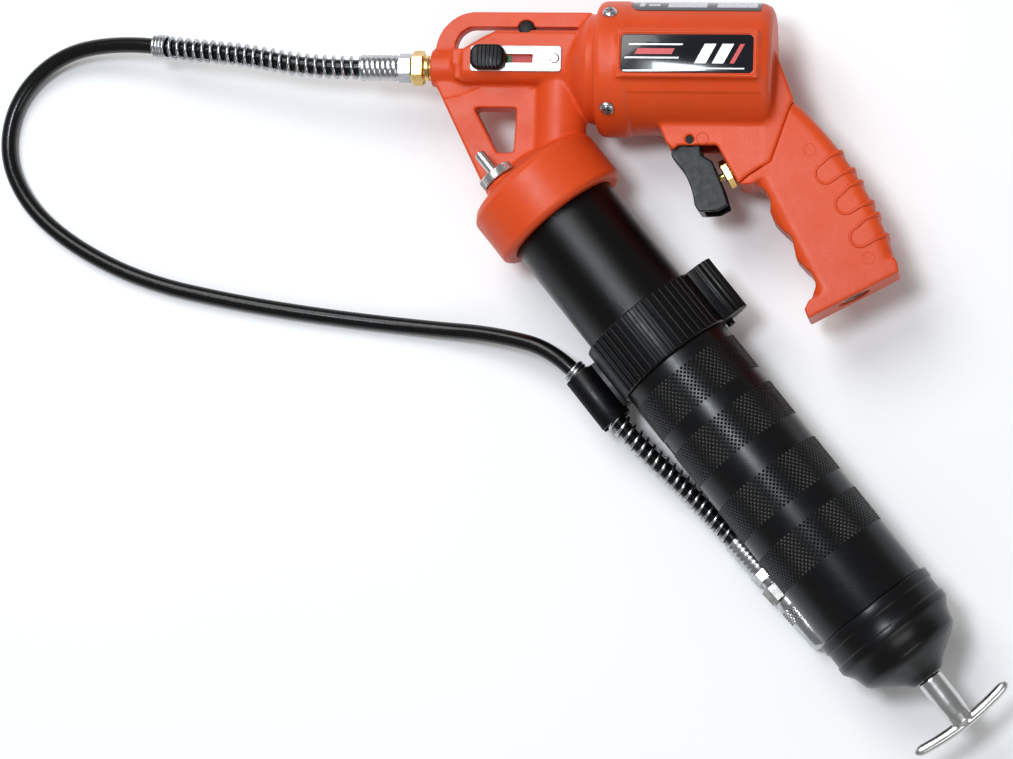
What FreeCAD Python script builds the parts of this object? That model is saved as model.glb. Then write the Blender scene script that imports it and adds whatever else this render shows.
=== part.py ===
import FreeCAD, Part
import math
import os
import re

import Sketcher
from FreeCAD import Placement, Rotation, Vector

# Air-operated pistol grease gun, lying on its side with the Z axis up.
# The pump axis and the barrel axis cross at one point. Both lie in the gun's middle plane.
# Four local frames share that plane, each with its own x direction:
#   pump    x runs from the grease outlet back to the air motor
#   barrel  x runs from the head down to the end cap
#   grip    x runs down the handle, from its end face, which is at x = 0
#   valve   x runs from the trigger into the air valve's bore

doc = FreeCAD.newDocument("grease_gun")

# ---------------------------------------------------------------- driving dimensions

SIZES = [
    # where the axes cross, and how the frames are turned
    ("cross_x", -134.8, "crossing of the two axes, along X"),
    ("cross_y", 149.2, "crossing of the two axes, along Y"),
    ("mid_height", 35.5, "height of the middle plane above the floor"),
    ("barrel_turn", -50.0, "angle of the barrel, degrees from +X"),
    ("grip_turn", -61.4, "angle of the handle, degrees from +X"),
    ("grip_x", 206.0, "middle of the handle's end face, along the pump axis"),
    ("grip_y", -111.6, "middle of the handle's end face, across the pump axis"),
    ("valve_turn", 29.6, "angle of the air valve, degrees from +X"),
    ("valve_x", 144.6, "middle of the valve's seat face, along the pump axis"),
    ("valve_y", -50.3, "middle of the valve's seat face, across the pump axis"),
    ("fit_gap", 0.05, "radial clearance of a running fit"),
    # head casting
    ("boss_front", -5.2, "front face of the outlet boss"),
    ("boss_radius", 9.2, "outlet boss"),
    ("block_front", 7.5, "front of the selector block"),
    ("block_back", 64.0, "back of the selector block"),
    ("block_low", -9.0, "lower side of the selector block"),
    ("block_round", 7.0, "rounding of the selector block's lower edges"),
    ("crest_half", 12.0, "half thickness of the crest above the selector block"),
    ("block_face", 15.0, "half thickness of the selector block"),
    ("web_half", 6.0, "half thickness of the webs"),
    ("loop_half", 4.8, "half thickness of the hanging loop"),
    ("loop_top", 27.6, "top of the hanging loop"),
    ("loop_bar", 7.6, "height of the loop's bar"),
    ("plug_radius", 4.0, "rubber plug in the loop"),
    ("plug_x", 41.8, "middle of the rubber plug, along the pump axis"),
    ("plug_y", 19.5, "middle of the rubber plug, across the pump axis"),
    ("cone_front", 57.0, "where the motor cone starts"),
    ("cone_rim", 27.3, "motor cone where it meets the housing"),
    ("flange_front", 78.0, "front face of the motor flange"),
    ("flange_radius", 33.4, "motor flange"),
    ("spigot_radius", 27.95, "spigot that the motor housing slides over"),
    ("spigot_back", 92.0, "back face of the spigot"),
    ("column_x", 59.5, "middle of the grease column along the pump axis"),
    ("column_radius", 13.0, "grease column"),
    ("collar_top", 72.0, "upper edge of the collar's cylinder"),
    ("collar_end", 98.0, "open end of the collar"),
    ("collar_radius", 35.5, "collar"),
    ("collar_floor", 77.0, "floor of the collar's thread"),
    ("shoulder_top", 62.0, "top of the collar's shoulder"),
    ("port_radius", 4.0, "grease port"),
    ("plunger_radius", 4.0, "pump plunger"),
    ("sleeve_radius", 6.0, "outside of the hardened pump sleeve"),
    ("sleeve_front", 16.0, "front of the pump sleeve"),
    ("sleeve_back", 70.0, "back of the pump sleeve"),
    ("bleed_side", -12.0, "bleeder valve, across the barrel axis"),
    ("bleed_height", 17.5, "bleeder valve, above the middle plane"),
    ("bleed_seat", 66.0, "underside of the bleeder valve's disc"),
    ("bleed_thread", 3.0, "bleeder valve thread"),
    # outlet fitting
    ("outlet_hex_front", -15.2, "front face of the brass hex"),
    ("outlet_hex_back", -8.9, "back face of the brass hex"),
    ("outlet_hex_radius", 8.8, "brass hex across its corners, halved"),
    ("outlet_neck", 6.3, "brass neck"),
    ("outlet_thread", 5.0, "brass thread"),
    ("outlet_bore", 2.2, "bore of the outlet"),
    ("outlet_depth", 8.0, "depth of the outlet thread in the head"),
    ("chamber_radius", 5.5, "chamber of the outlet check valve"),
    ("ball_radius", 4.4, "ball of the outlet check valve"),
    # selector
    ("plate_front", 16.1, "front end of the selector plate"),
    ("plate_length", 45.0, "selector plate"),
    ("plate_low", -4.1, "lower edge of the selector plate"),
    ("plate_width", 12.6, "selector plate"),
    ("plate_thick", 1.0, "selector plate"),
    ("slot_front", 19.0, "front end of the selector slot"),
    ("slot_back", 47.2, "back end of the selector slot"),
    ("slot_width", 4.6, "selector slot"),
    ("knob_front", 16.6, "front of the selector knob"),
    ("knob_length", 17.0, "selector knob"),
    ("knob_width", 12.4, "selector knob"),
    ("knob_height", 6.0, "selector knob"),
    ("knob_stem", 10.0, "length of the knob's stem in the slot"),
    # motor housing
    ("flange_back", 93.0, "back face of the housing's front band"),
    ("housing_radius", 32.7, "motor housing"),
    ("housing_back", 164.5, "back face of the motor housing"),
    ("cylinder_radius", 28.0, "bore for the motor's liner"),
    ("cylinder_back", 156.0, "end of the motor's bore"),
    ("pad_front", 90.0, "front end of the label pad"),
    ("pad_length", 68.6, "label pad"),
    ("pad_low", -10.1, "lower edge of the label pad"),
    ("pad_width", 23.4, "label pad"),
    ("pad_face", 33.8, "half thickness over the label pads"),
    ("label_depth", 0.8, "recess for the label"),
    ("label_edge", 2.2, "rim around the label"),
    ("frame_half", 14.5, "half thickness of the trigger block and the handle"),
    ("screw_x", 85.3, "flange screws, along the pump axis"),
    ("screw_head", 3.7, "flange screw head"),
    ("screw_shank", 2.0, "flange screw shank"),
    ("liner_wall", 2.0, "wall of the motor's liner"),
    ("piston_front", 138.0, "front face of the air piston at rest"),
    ("piston_thick", 11.0, "air piston"),
    # trigger and air valve
    ("pin_x", 125.0, "trigger pin, along the pump axis"),
    ("pin_y", -37.0, "trigger pin, across the pump axis"),
    ("pin_radius", 2.0, "trigger pin"),
    ("trigger_half", 9.8, "half width of the trigger"),
    ("trigger_wall", 1.8, "walls of the trigger"),
    ("slot_half", 10.4, "half width of the slot for the trigger"),
    ("valve_hex", 7.5, "brass valve hex across its corners, halved"),
    ("valve_hex_thick", 4.0, "brass valve hex"),
    ("valve_radius", 5.0, "brass valve body"),
    ("valve_length", 20.0, "brass valve body"),
    ("stem_radius", 1.6, "valve stem"),
    ("stem_reach", 8.0, "how far the stem stands out of its face at rest"),
    # handle
    ("back_round", 6.0, "rounding of the handle's back"),
    ("front_round", 8.0, "rounding of the handle's front"),
    ("grip_base", 24.4, "half width of the handle's end face"),
    ("inlet_radius", 5.7, "thread bore of the air inlet"),
    ("inlet_wall", 2.6, "wall of the inlet bushing"),
    ("inlet_depth", 16.0, "length of the inlet bushing"),
    ("inlet_sink", 1.2, "how deep the bushing lies in the end face"),
    # barrel
    ("tube_radius", 28.5, "barrel tube"),
    ("tube_wall", 1.5, "barrel tube"),
    ("tube_end", 352.0, "lower end of the barrel tube"),
    ("gasket_thick", 1.5, "barrel gasket"),
    ("jacket_front", 187.5, "upper end of the grip sleeve"),
    ("jacket_end", 339.7, "lower end of the grip sleeve"),
    ("jacket_radius", 29.3, "grip sleeve"),
    ("cap_radius", 31.4, "end cap"),
    ("cap_step", 357.0, "end of the cap's cylinder"),
    ("cap_nose", 382.0, "outer face of the end cap"),
    ("cap_wall", 1.6, "wall of the end cap"),
    ("rod_radius", 4.0, "follower rod"),
    ("neck_radius", 6.5, "neck of the handle"),
    ("handle_x", 409.3, "middle of the handle's bar"),
    ("handle_half", 28.3, "half length of the handle's bar"),
    ("handle_bar", 2.9, "radius of the handle's bar"),
    ("handle_bow", 2.8, "how far the handle's ends are swept back"),
    ("cup_front", 104.0, "front face of the follower cup"),
    ("cup_length", 16.0, "follower cup"),
    ("cup_gap", 0.3, "clearance of the follower cup in the tube"),
    # hose holder
    ("holder_front", 158.0, "upper end of the hose holder"),
    ("holder_length", 29.5, "hose holder"),
    ("holder_radius", 31.6, "ring of the hose holder"),
    ("arm_reach", 43.8, "outer end of the clamping lugs, across the barrel"),
    ("arm_half", 8.5, "half height of the clamping lugs"),
    ("pin_side", 32.3, "pin of the clamping lugs, across the barrel"),
    ("pin_drop", -5.0, "pin of the clamping lugs, from the middle plane"),
    ("clip_front", 161.0, "upper end of the hose clip"),
    ("clip_side", -41.8, "middle of the hose clip, across the barrel"),
    ("clip_drop", -14.0, "middle of the hose clip, from the middle plane"),
    ("clip_radius", 8.8, "outside of the hose clip"),
    ("clip_wall", 1.6, "wall of the hose clip"),
    # hose
    ("hose_radius", 4.0, "rubber hose"),
    ("guard_radius", 6.0, "outside of the spring guards"),
    ("guard_bore", 4.1, "inside of the spring guards"),
    ("ferrule_radius", 6.5, "crimped ferrule"),
    ("ferrule_front", -41.4, "hose end of the outlet ferrule"),
    ("ferrule_hex_front", -22.2, "front of the outlet ferrule's hex"),
    ("ferrule_hex_radius", 7.3, "outlet ferrule's hex across its corners, halved"),
    ("coupler_turn", -46.6, "angle of the coupler, degrees from +X"),
    ("coupler_end", 338.0, "free end of the coupler, along the barrel"),
    ("coupler_side", -28.5, "free end of the coupler, across the barrel"),
    ("coupler_height", 8.0, "coupler, above the floor"),
    ("coupler_front", 271.0, "hose end of the coupler's ferrule"),
    ("coupler_nut", 290.0, "front of the coupler ferrule's hex"),
    ("coupler_radius", 7.0, "grease coupler"),
]

sheet = doc.addObject("Spreadsheet::Sheet", "Sizes")
for line, (alias, number, note) in enumerate(SIZES, start=1):
    sheet.set(f"A{line}", note)
    sheet.set(f"B{line}", str(number))
    sheet.setAlias(f"B{line}", alias)
doc.recompute()

ALIASES = {alias for alias, number, note in SIZES}


def linked(text):
    """The expression with each alias written as a cell of the sheet."""
    def link(match):
        word = match.group(0)
        return "Sizes." + word if word in ALIASES else word
    return re.sub(r"[a-z_]+", link, str(text))


def size(text):
    """The value of an expression, as a number."""
    answer = sheet.evalExpression(linked(text))
    return float(getattr(answer, "Value", answer))


def bind(item, **expressions):
    """Bind properties to expressions on the sheet."""
    for name, text in expressions.items():
        item.setExpression(name, linked(text))
    return item


def bind_base(item, x, y, z):
    """Bind the position of a placement to the sheet."""
    for axis, text in zip("xyz", (x, y, z)):
        item.setExpression(".Placement.Base." + axis, linked(text))


# ---------------------------------------------------------------- frames and nodes

FRAMES = {
    "pump": ("cross_x", "cross_y", "mid_height", "0"),
    "barrel": ("cross_x", "cross_y", "mid_height", "barrel_turn"),
    "grip": ("cross_x + grip_x", "cross_y + grip_y", "mid_height", "grip_turn"),
    "valve": ("cross_x + valve_x", "cross_y + valve_y", "mid_height", "valve_turn"),
    "bleeder": ("cross_x - bleed_side * sin(barrel_turn)", "cross_y + bleed_side * cos(barrel_turn)",
                "mid_height + bleed_height", "barrel_turn"),
    "coupler": ("cross_x + coupler_end * (cos(barrel_turn) - cos(coupler_turn)) - coupler_side * sin(barrel_turn)",
                "cross_y + coupler_end * (sin(barrel_turn) - sin(coupler_turn)) + coupler_side * cos(barrel_turn)",
                "coupler_height", "coupler_turn"),
}
NODES = []


def node(item, label, frame):
    """Name a finished sub-part and put it in its place on the gun."""
    x, y, z, turn = FRAMES[frame]
    item.Label = label
    item.Placement = Placement(Vector(), Rotation(Vector(0, 0, 1), size(turn)))
    bind_base(item, x, y, z)
    NODES.append(item)
    return item


# ---------------------------------------------------------------- primitives

ALONG = {
    "x": Rotation(Vector(0, 0, 1), Vector(1, 0, 0)),
    "y": Rotation(Vector(0, 0, 1), Vector(0, 1, 0)),
    "z": Rotation(),
}


def cylinder(name, radius, length, start, along="x"):
    item = doc.addObject("Part::Cylinder", name)
    bind(item, Radius=radius, Height=length)
    item.Placement = Placement(Vector(), ALONG[along])
    bind_base(item, *start)
    return item


def prism(name, radius, length, start, along="x", sides=6):
    item = doc.addObject("Part::Prism", name)
    item.Polygon = sides
    bind(item, Circumradius=radius, Height=length)
    item.Placement = Placement(Vector(), ALONG[along])
    bind_base(item, *start)
    return item


def box(name, x, y, z):
    """A box from three pairs of expressions: low side and length."""
    item = doc.addObject("Part::Box", name)
    bind(item, Length=x[1], Width=y[1], Height=z[1])
    bind_base(item, x[0], y[0], z[0])
    return item


def aimed(name, radius, length, start, turn):
    """A cylinder in the middle plane's directions, its axis turned from +x by an angle."""
    item = cylinder(name, radius, length, start)
    item.Placement.Rotation = Rotation(Vector(0, 0, 1), size(turn)).multiply(ALONG["x"])
    return item


def turned(item, turn):
    """Turn a nested piece about Z, inside the frame of its parent."""
    item.Placement = Placement(Vector(), Rotation(Vector(0, 0, 1), size(turn)))
    return item


def beside_barrel(along, side):
    """A point of the barrel frame, as a pair of expressions in the pump frame."""
    return (f"({along}) * cos(barrel_turn) - ({side}) * sin(barrel_turn)",
            f"({along}) * sin(barrel_turn) + ({side}) * cos(barrel_turn)")


def fuse(name, *pieces):
    item = doc.addObject("Part::MultiFuse", name)
    item.Shapes = list(pieces)
    return item


def in_frame(name, piece):
    """Wrap one primitive, so that its place in the frame is kept when the node is placed."""
    item = doc.addObject("Part::Compound", name)
    item.Links = [piece]
    return item


def cut(name, base, *tools):
    item = doc.addObject("Part::Cut", name)
    item.Base = base
    item.Tool = tools[0] if len(tools) == 1 else fuse(name + "_tools", *tools)
    return item


# ---------------------------------------------------------------- sketched bodies

def plane_of(body, role):
    return [f for f in body.Origin.OriginFeatures if f.Role == role][0]


def pin_vertex(sketch, edge, end, x, y):
    """Hold one vertex of a sketch at two expressions."""
    for kind, text in (("DistanceX", x), ("DistanceY", y)):
        number = size(text)
        if abs(number) < 1e-9:
            axis = -2 if kind == "DistanceX" else -1
            sketch.addConstraint(Sketcher.Constraint("PointOnObject", edge, end, axis))
            continue
        ends = (-1, 1, edge, end) if number > 0 else (edge, end, -1, 1)
        index = sketch.addConstraint(Sketcher.Constraint(kind, *ends, abs(number)))
        sign = "" if number > 0 else "-"
        sketch.setExpression(f"Constraints[{index}]", linked(f"{sign}({text})"))


def arc_through(first, middle, last):
    """A counter-clockwise arc on three points, and whether it runs from last to first."""
    circle = Part.Arc(first, middle, last).toShape().Curve
    centre = circle.Center
    start = math.atan2(first.y - centre.y, first.x - centre.x)
    stop = math.atan2(last.y - centre.y, last.x - centre.x)
    side = (middle - first).cross(last - middle).z
    if side < 0:
        start, stop = stop, start
    if stop < start:
        stop += 2 * math.pi
    flat = Part.Circle(centre, Vector(0, 0, 1), circle.Radius)
    return Part.ArcOfCircle(flat, start, stop), side < 0


def outline(body, name, steps, role="XY_Plane"):
    """A closed sketch: each step is (x, y), or (x, y, mid_x, mid_y) for an arc that ends there."""
    sketch = body.newObject("Sketcher::SketchObject", name)
    sketch.AttachmentSupport = [(plane_of(body, role), "")]
    sketch.MapMode = "FlatFace"
    points = [Vector(size(step[0]), size(step[1]), 0) for step in steps]
    ends = []
    for index, step in enumerate(steps):
        first = points[index - 1]
        last = points[index]
        if len(step) == 4:
            middle = Vector(size(step[2]), size(step[3]), 0)
            curve, backwards = arc_through(first, middle, last)
        else:
            curve, backwards = Part.LineSegment(first, last), False
        edge = sketch.addGeometry(curve)
        ends.append((edge, 1 if backwards else 2, 2 if backwards else 1))
    for index, step in enumerate(steps):
        edge, stop, start = ends[index]
        following, _, next_start = ends[(index + 1) % len(steps)]
        sketch.addConstraint(Sketcher.Constraint("Coincident", edge, stop, following, next_start))
        pin_vertex(sketch, edge, stop, step[0], step[1])
    return sketch


def padded(name, steps, half=None, low=None, high=None):
    """An outline in the XY plane, padded to both sides of it, or from low to high."""
    body = doc.addObject("PartDesign::Body", name)
    sketch = outline(body, name + "_outline", steps)
    pad = body.newObject("PartDesign::Pad", name + "_pad")
    pad.Profile = sketch
    if half is not None:
        pad.Midplane = True
        bind(pad, Length=f"2 * ({half})")
    else:
        bind(pad, Length=f"({high}) - ({low})")
        sketch.setExpression(".AttachmentOffset.Base.z", linked(low))
    sketch.Visibility = False
    return body


def turned_body(name, steps):
    """An outline of (x, radius) points, revolved about the frame's x axis."""
    body = doc.addObject("PartDesign::Body", name)
    sketch = outline(body, name + "_profile", steps)
    turn = body.newObject("PartDesign::Revolution", name + "_turn")
    turn.Profile = sketch
    turn.ReferenceAxis = (sketch, ["H_Axis"])
    turn.Angle = 360
    return body


def ring(name, inner, outer, low, high):
    """A plain ring or tube on the frame's x axis."""
    return turned_body(name, [(low, inner), (high, inner), (high, outer), (low, outer)])


def rounded(body, radius, choose):
    """Fillet the edges of a body's tip that pass the test."""
    doc.recompute()
    base = body.Tip
    edges = [f"Edge{i}" for i, edge in enumerate(base.Shape.Edges, start=1) if choose(edge)]
    fillet = body.newObject("PartDesign::Fillet", body.Name + "_fillet")
    fillet.Base = (base, edges)
    bind(fillet, Radius=radius)
    body.Tip = fillet
    return body


# ---------------------------------------------------------------- head casting

def make_head():
    """One aluminium casting: outlet boss, selector block, hanging loop, web, motor cone and collar."""
    boss = cylinder("boss", "boss_radius", "block_front - boss_front + 30", ("boss_front", "0", "0"))
    block = padded("block", [
        ("block_front + 4", "block_low + block_round"), ("block_front + 4", "6"), ("block_front + 8", "9"),
        ("21.5", "12.3"), ("28", "15.6"), ("block_back + 4", "15.6"),
        ("block_back + 4", "block_low + block_round")], half="block_face")
    floor = box("block_floor", ("block_front + 4", "block_back - block_front"), ("block_low", "2 * block_round"),
                ("block_round - block_face", "2 * (block_face - block_round)"))
    edges = []
    for side in ("block_face - block_round", "block_round - block_face"):
        edges.append(cylinder(f"block_edge_{len(edges)}", "block_round", "block_back - block_front",
                              ("block_front + 4", "block_low + block_round", side)))
    block_nose = padded("block_nose", [
        ("block_front", "block_low + 2"), ("block_front", "7.5"), ("block_front + 4", "7.8"),
        ("block_front + 7", "9"), ("block_front + 7", "block_low")], half="block_face - 3.5")
    loop = padded("loop", [
        ("block_back + 10", "loop_top"), ("15", "loop_top"),
        ("boss_front + 2", "boss_radius - 1", "1.5", "20.5"),
        ("7", "boss_radius - 1"),
        ("15.5", "loop_top - loop_bar", "9", "16.5"),
        ("35", "loop_top - loop_bar"), ("block_back + 10", "loop_top - loop_bar")], half="loop_half")
    crest = padded("crest", [
        ("6", "0"), ("6", "7.9"), ("11.6", "7.9"), ("15.9", "10.6"), ("21.9", "14.1"), ("28.1", "17.2"),
        ("block_back + 6", "17.2"), ("block_back + 6", "0")], half="crest_half")
    cone = turned_body("cone", [
        ("cone_front", "0"), ("cone_front", "13"), ("62", "15"), ("65.5", "16.8"), ("68.4", "20.3"),
        ("71.2", "23.8"), ("74", "cone_rim - 0.6"), ("flange_front", "cone_rim"),
        ("flange_front", "spigot_radius"), ("spigot_back", "spigot_radius"), ("spigot_back", "0")])
    column = cylinder("column", "column_radius", "54", ("column_x", "-54", "0"), along="y")
    web = padded("web", [
        ("-2.7", "-5"), ("-2.7", "-8.8"), ("25.7", "-64.6"), ("34", "-70"), ("56", "-56"), ("56", "-5")],
        half="web_half")
    panel = padded("web_panel", [
        ("1.4", "-16.5"), ("9.5", "-15"), ("20.5", "-10.1"), ("43.1", "-9.9"), ("48", "-11"), ("49.2", "-13.5"),
        ("48.7", "-50"), ("34", "-68"), ("25.9", "-64")], half="web_half + 1")
    collar = turned_body("collar", [
        ("shoulder_top", "0"), ("shoulder_top", "9"), ("shoulder_top + 4.2", "21"),
        ("collar_top - 2", "collar_radius - 3"), ("collar_top + 1.5", "collar_radius"),
        ("collar_end - 2", "collar_radius"), ("collar_end", "collar_radius - 2"), ("collar_end", "0")])
    turned(collar, "barrel_turn")
    boss_start = beside_barrel("bleed_seat + 0.3", "bleed_side")
    bleed_boss = aimed("bleed_boss", "8.4", "12", (*boss_start, "bleed_height"), "barrel_turn")
    body = fuse("head_solid", boss, block, floor, *edges, block_nose, loop, crest, cone, column, web, panel, collar,
                bleed_boss)

    window = padded("window", [
        ("17.3", "-20.7"), ("29.8", "-43.2"), ("37.8", "-42.6"), ("38.4", "-20.7")], half="20")
    tube_seat = turned(ring("tube_seat", "0", "tube_radius", "collar_floor", "collar_end + 5"), "barrel_turn")
    port = cylinder("port", "port_radius", "60", ("column_x", "-60", "0"), along="y")
    bore = cylinder("sleeve_bore", "sleeve_radius", "spigot_back", ("sleeve_front", "0", "0"))
    outlet = cylinder("check_chamber", "chamber_radius", "sleeve_front - boss_front - outlet_depth",
                      ("boss_front + outlet_depth", "0", "0"))
    thread = cylinder("outlet_thread", "outlet_thread", "outlet_depth + 1", ("boss_front - 1", "0", "0"))
    hole_start = beside_barrel("bleed_seat - 5", "bleed_side")
    face_start = beside_barrel("bleed_seat - 8", "bleed_side")
    bleed = aimed("bleed_hole", "bleed_thread", "30", (*hole_start, "bleed_height"), "barrel_turn")
    bleed_face = aimed("bleed_face", "10", "8.3", (*face_start, "bleed_height"), "barrel_turn")
    slot_length = "slot_back - slot_front"
    slot = box("selector_slot", ("slot_front", slot_length),
               ("plate_low + (plate_width - slot_width) / 2", "slot_width"), ("block_face - 3", "10"))
    plate_hole = cylinder("plate_hole", "1.2", "10", ("plate_front + 41.6", "2.3", "block_face - 6"), along="z")
    tools = [window, tube_seat, port, bore, outlet, thread, bleed, bleed_face, slot, plate_hole]
    for index, angle in enumerate((45, 135, 225, 315)):
        hole = cylinder(f"spigot_hole_{index}", "screw_shank", "8", ("screw_x", "0", "0"), along="z")
        hole.Placement.Rotation = Rotation(Vector(1, 0, 0), angle)
        reach = "(spigot_radius - 5)"
        bind_base(hole, "screw_x", f"-{reach} * sin({angle})", f"{reach} * cos({angle})")
        tools.append(hole)
    button = cylinder("button_seat", "plug_radius", "40", ("plug_x", "plug_y", "-20"), along="z")
    tools.append(button)
    return node(cut("head_casting", body, *tools), "head_casting", "pump")


def make_head_fittings():
    """The pieces that are fixed to the head, outside and in."""
    adapter = cut("outlet_adapter", fuse("adapter_solid",
        prism("adapter_hex", "outlet_hex_radius", "outlet_hex_back - outlet_hex_front",
              ("outlet_hex_front", "0", "0")),
        cylinder("adapter_neck", "outlet_neck", "boss_front - outlet_hex_back", ("outlet_hex_back", "0", "0")),
        cylinder("adapter_thread", "outlet_thread", "outlet_depth", ("boss_front", "0", "0"))),
        cylinder("adapter_bore", "outlet_bore", "30", ("outlet_hex_front - 1", "0", "0")))
    node(adapter, "outlet_adapter", "pump")
    node(ring("pump_sleeve", "plunger_radius + fit_gap", "sleeve_radius", "sleeve_front", "sleeve_back"),
         "pump_sleeve", "pump")
    ball_x = "sleeve_front - 1.8"
    ball = doc.addObject("Part::Sphere", "ball")
    bind(ball, Radius="ball_radius")
    bind_base(ball, ball_x, "0", "0")
    node(in_frame("outlet_ball", ball), "outlet_ball", "pump")
    node(ring("outlet_spring", "2.6", "3.4", "boss_front + outlet_depth", "sleeve_front - 5.5"),
         "outlet_spring", "pump")

    plate = cut("selector_plate",
        box("plate_body", ("plate_front", "plate_length"), ("plate_low", "plate_width"),
            ("block_face", "plate_thick")),
        box("plate_slot", ("slot_front", "slot_back - slot_front"),
            ("plate_low + (plate_width - slot_width) / 2", "slot_width"), ("block_face - 1", "5")),
        cylinder("plate_screw_hole", "1.3", "10", ("plate_front + 41.6", "2.3", "block_face - 5"), along="z"))
    node(plate, "selector_plate", "pump")
    node(fuse("plate_screw",
        cylinder("plate_screw_head", "2.5", "1", ("plate_front + 41.6", "2.3", "block_face + plate_thick"),
                 along="z"),
        cylinder("plate_screw_shank", "1.2", "5 + plate_thick", ("plate_front + 41.6", "2.3", "block_face - 5"),
                 along="z")), "plate_screw", "pump")
    stem_low = "plate_low + (plate_width - slot_width) / 2 + 0.3"
    node(fuse("selector_knob",
        box("knob_body", ("knob_front", "knob_length"), ("plate_low + (plate_width - knob_width) / 2",
            "knob_width"), ("block_face + plate_thick + 0.3", "knob_height")),
        box("knob_stem_body", ("slot_front + 0.5", "knob_stem"), (stem_low, "slot_width - 0.6"),
            ("block_face - 2.5", "5"))), "selector_knob", "pump")
    plug = cylinder("plug_body", "plug_radius", "2 * loop_half + 1", ("plug_x", "plug_y", "-loop_half - 0.5"),
                    along="z")
    node(in_frame("loop_plug", plug), "loop_plug", "pump")

    bleeder = turned_body("bleeder_valve", [
        ("bleed_seat - 17.5", "0"), ("bleed_seat - 17.5", "2.2"), ("bleed_seat - 17", "2.7"),
        ("bleed_seat - 4.7", "2.7"), ("bleed_seat - 4.7", "9"), ("bleed_seat", "9"),
        ("bleed_seat", "bleed_thread - fit_gap"), ("collar_floor - 3", "bleed_thread - fit_gap"),
        ("collar_floor - 1", "1"), ("collar_floor - 1", "0")])
    node(bleeder, "bleeder_valve", "bleeder")
    node(ring("barrel_gasket", "20", "tube_radius - 0.2", "collar_floor", "collar_floor + gasket_thick"),
         "barrel_gasket", "barrel")


# ---------------------------------------------------------------- air motor

def flange_screws(name, radius, low, length):
    """The same cylinder at each of the four flange screws, pointing outwards."""
    pieces = []
    for angle in (45, 135, 225, 315):
        item = cylinder(f"{name}_{angle}", radius, length, ("screw_x", "0", "0"), along="z")
        item.Placement.Rotation = Rotation(Vector(1, 0, 0), angle)
        bind_base(item, "screw_x", f"-({low}) * sin({angle})", f"({low}) * cos({angle})")
        pieces.append(item)
    return pieces


# The joint between the motor casting and the handle, as points of the grip frame.
SEAM = [("-73.8", "-24.4"), ("-75.3", "-18.6"), ("-76.6", "-5.3"), ("-96.1", "15.2"), ("-98.5", "18.3")]


def beside_grip(point):
    """A point of the grip frame, as a pair of expressions in the pump frame."""
    along, side = point
    return (f"grip_x + ({along}) * cos(grip_turn) - ({side}) * sin(grip_turn)",
            f"grip_y + ({along}) * sin(grip_turn) + ({side}) * cos(grip_turn)")


def make_motor_housing():
    """One casting: the motor's cylinder with label pads, the trigger block and the rear gusset."""
    shell = turned_body("shell", [
        ("flange_front", "0"), ("flange_front", "flange_radius - 4.2"),
        ("flange_front + 0.6", "flange_radius - 2.2"), ("flange_front + 1.8", "flange_radius - 0.8"),
        ("flange_front + 4", "flange_radius"), ("flange_back", "flange_radius"),
        ("flange_back + 2", "housing_radius"), ("housing_back - 5", "housing_radius"),
        ("housing_back - 1.5", "housing_radius - 1.8"), ("housing_back", "housing_radius - 5"),
        ("housing_back", "0")])
    pads = []
    for side, low in (("near", "20"), ("far", "-pad_face")):
        pad = box(f"pad_{side}", ("pad_front", "pad_length"), ("pad_low", "pad_width"), (low, "pad_face - 20"))
        pads.append(pad)
    block = padded("trigger_block", [
        ("109", "-28"), ("113.3", "-38.5"), ("117", "-42.3"), ("119.5", "-40"), ("138.3", "-39.6"),
        *map(beside_grip, SEAM), ("164", "11"), ("150", "0")], half="frame_half")
    solid = fuse("housing_solid", shell, *pads, block)
    motor_bore = ring("motor_bore", "0", "cylinder_radius", "flange_front - 1", "cylinder_back")
    label_seat = box("label_seat", ("pad_front + label_edge", "pad_length - 2 * label_edge"),
                     ("pad_low + label_edge", "pad_width - 2 * label_edge"), ("pad_face - label_depth", "5"))
    slot = box("trigger_slot", ("114", "24.5"), ("-50", "18.5"), ("-slot_half", "2 * slot_half"))
    nose = padded("trigger_slot_nose", [("105", "-50"), ("115", "-50"), ("115", "-33"), ("112", "-35.5")],
                  half="slot_half")
    pin = cylinder("pin_hole", "pin_radius", "60", ("pin_x", "pin_y", "-30"), along="z")
    valve = aimed("valve_seat", "valve_radius", "valve_length + 1",
                  ("valve_x - cos(valve_turn)", "valve_y - sin(valve_turn)", "0"), "valve_turn")
    hex_room = aimed("hex_room", "valve_hex + 0.4", "8",
                     ("valve_x - 8 * cos(valve_turn)", "valve_y - 8 * sin(valve_turn)", "0"), "valve_turn")
    passage = aimed("air_passage", "2.5", "valve_length + 12", ("valve_x", "valve_y", "0"), "valve_turn")
    holes = flange_screws("flange_hole", "screw_shank", "spigot_radius - 2", "10")
    seats = flange_screws("flange_seat", "screw_head + 0.4", "flange_radius - 0.6", "10")
    tools = [motor_bore, label_seat, slot, nose, pin, valve, hex_room, passage] + holes + seats
    return node(cut("motor_housing", solid, *tools), "motor_housing", "pump")


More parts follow.
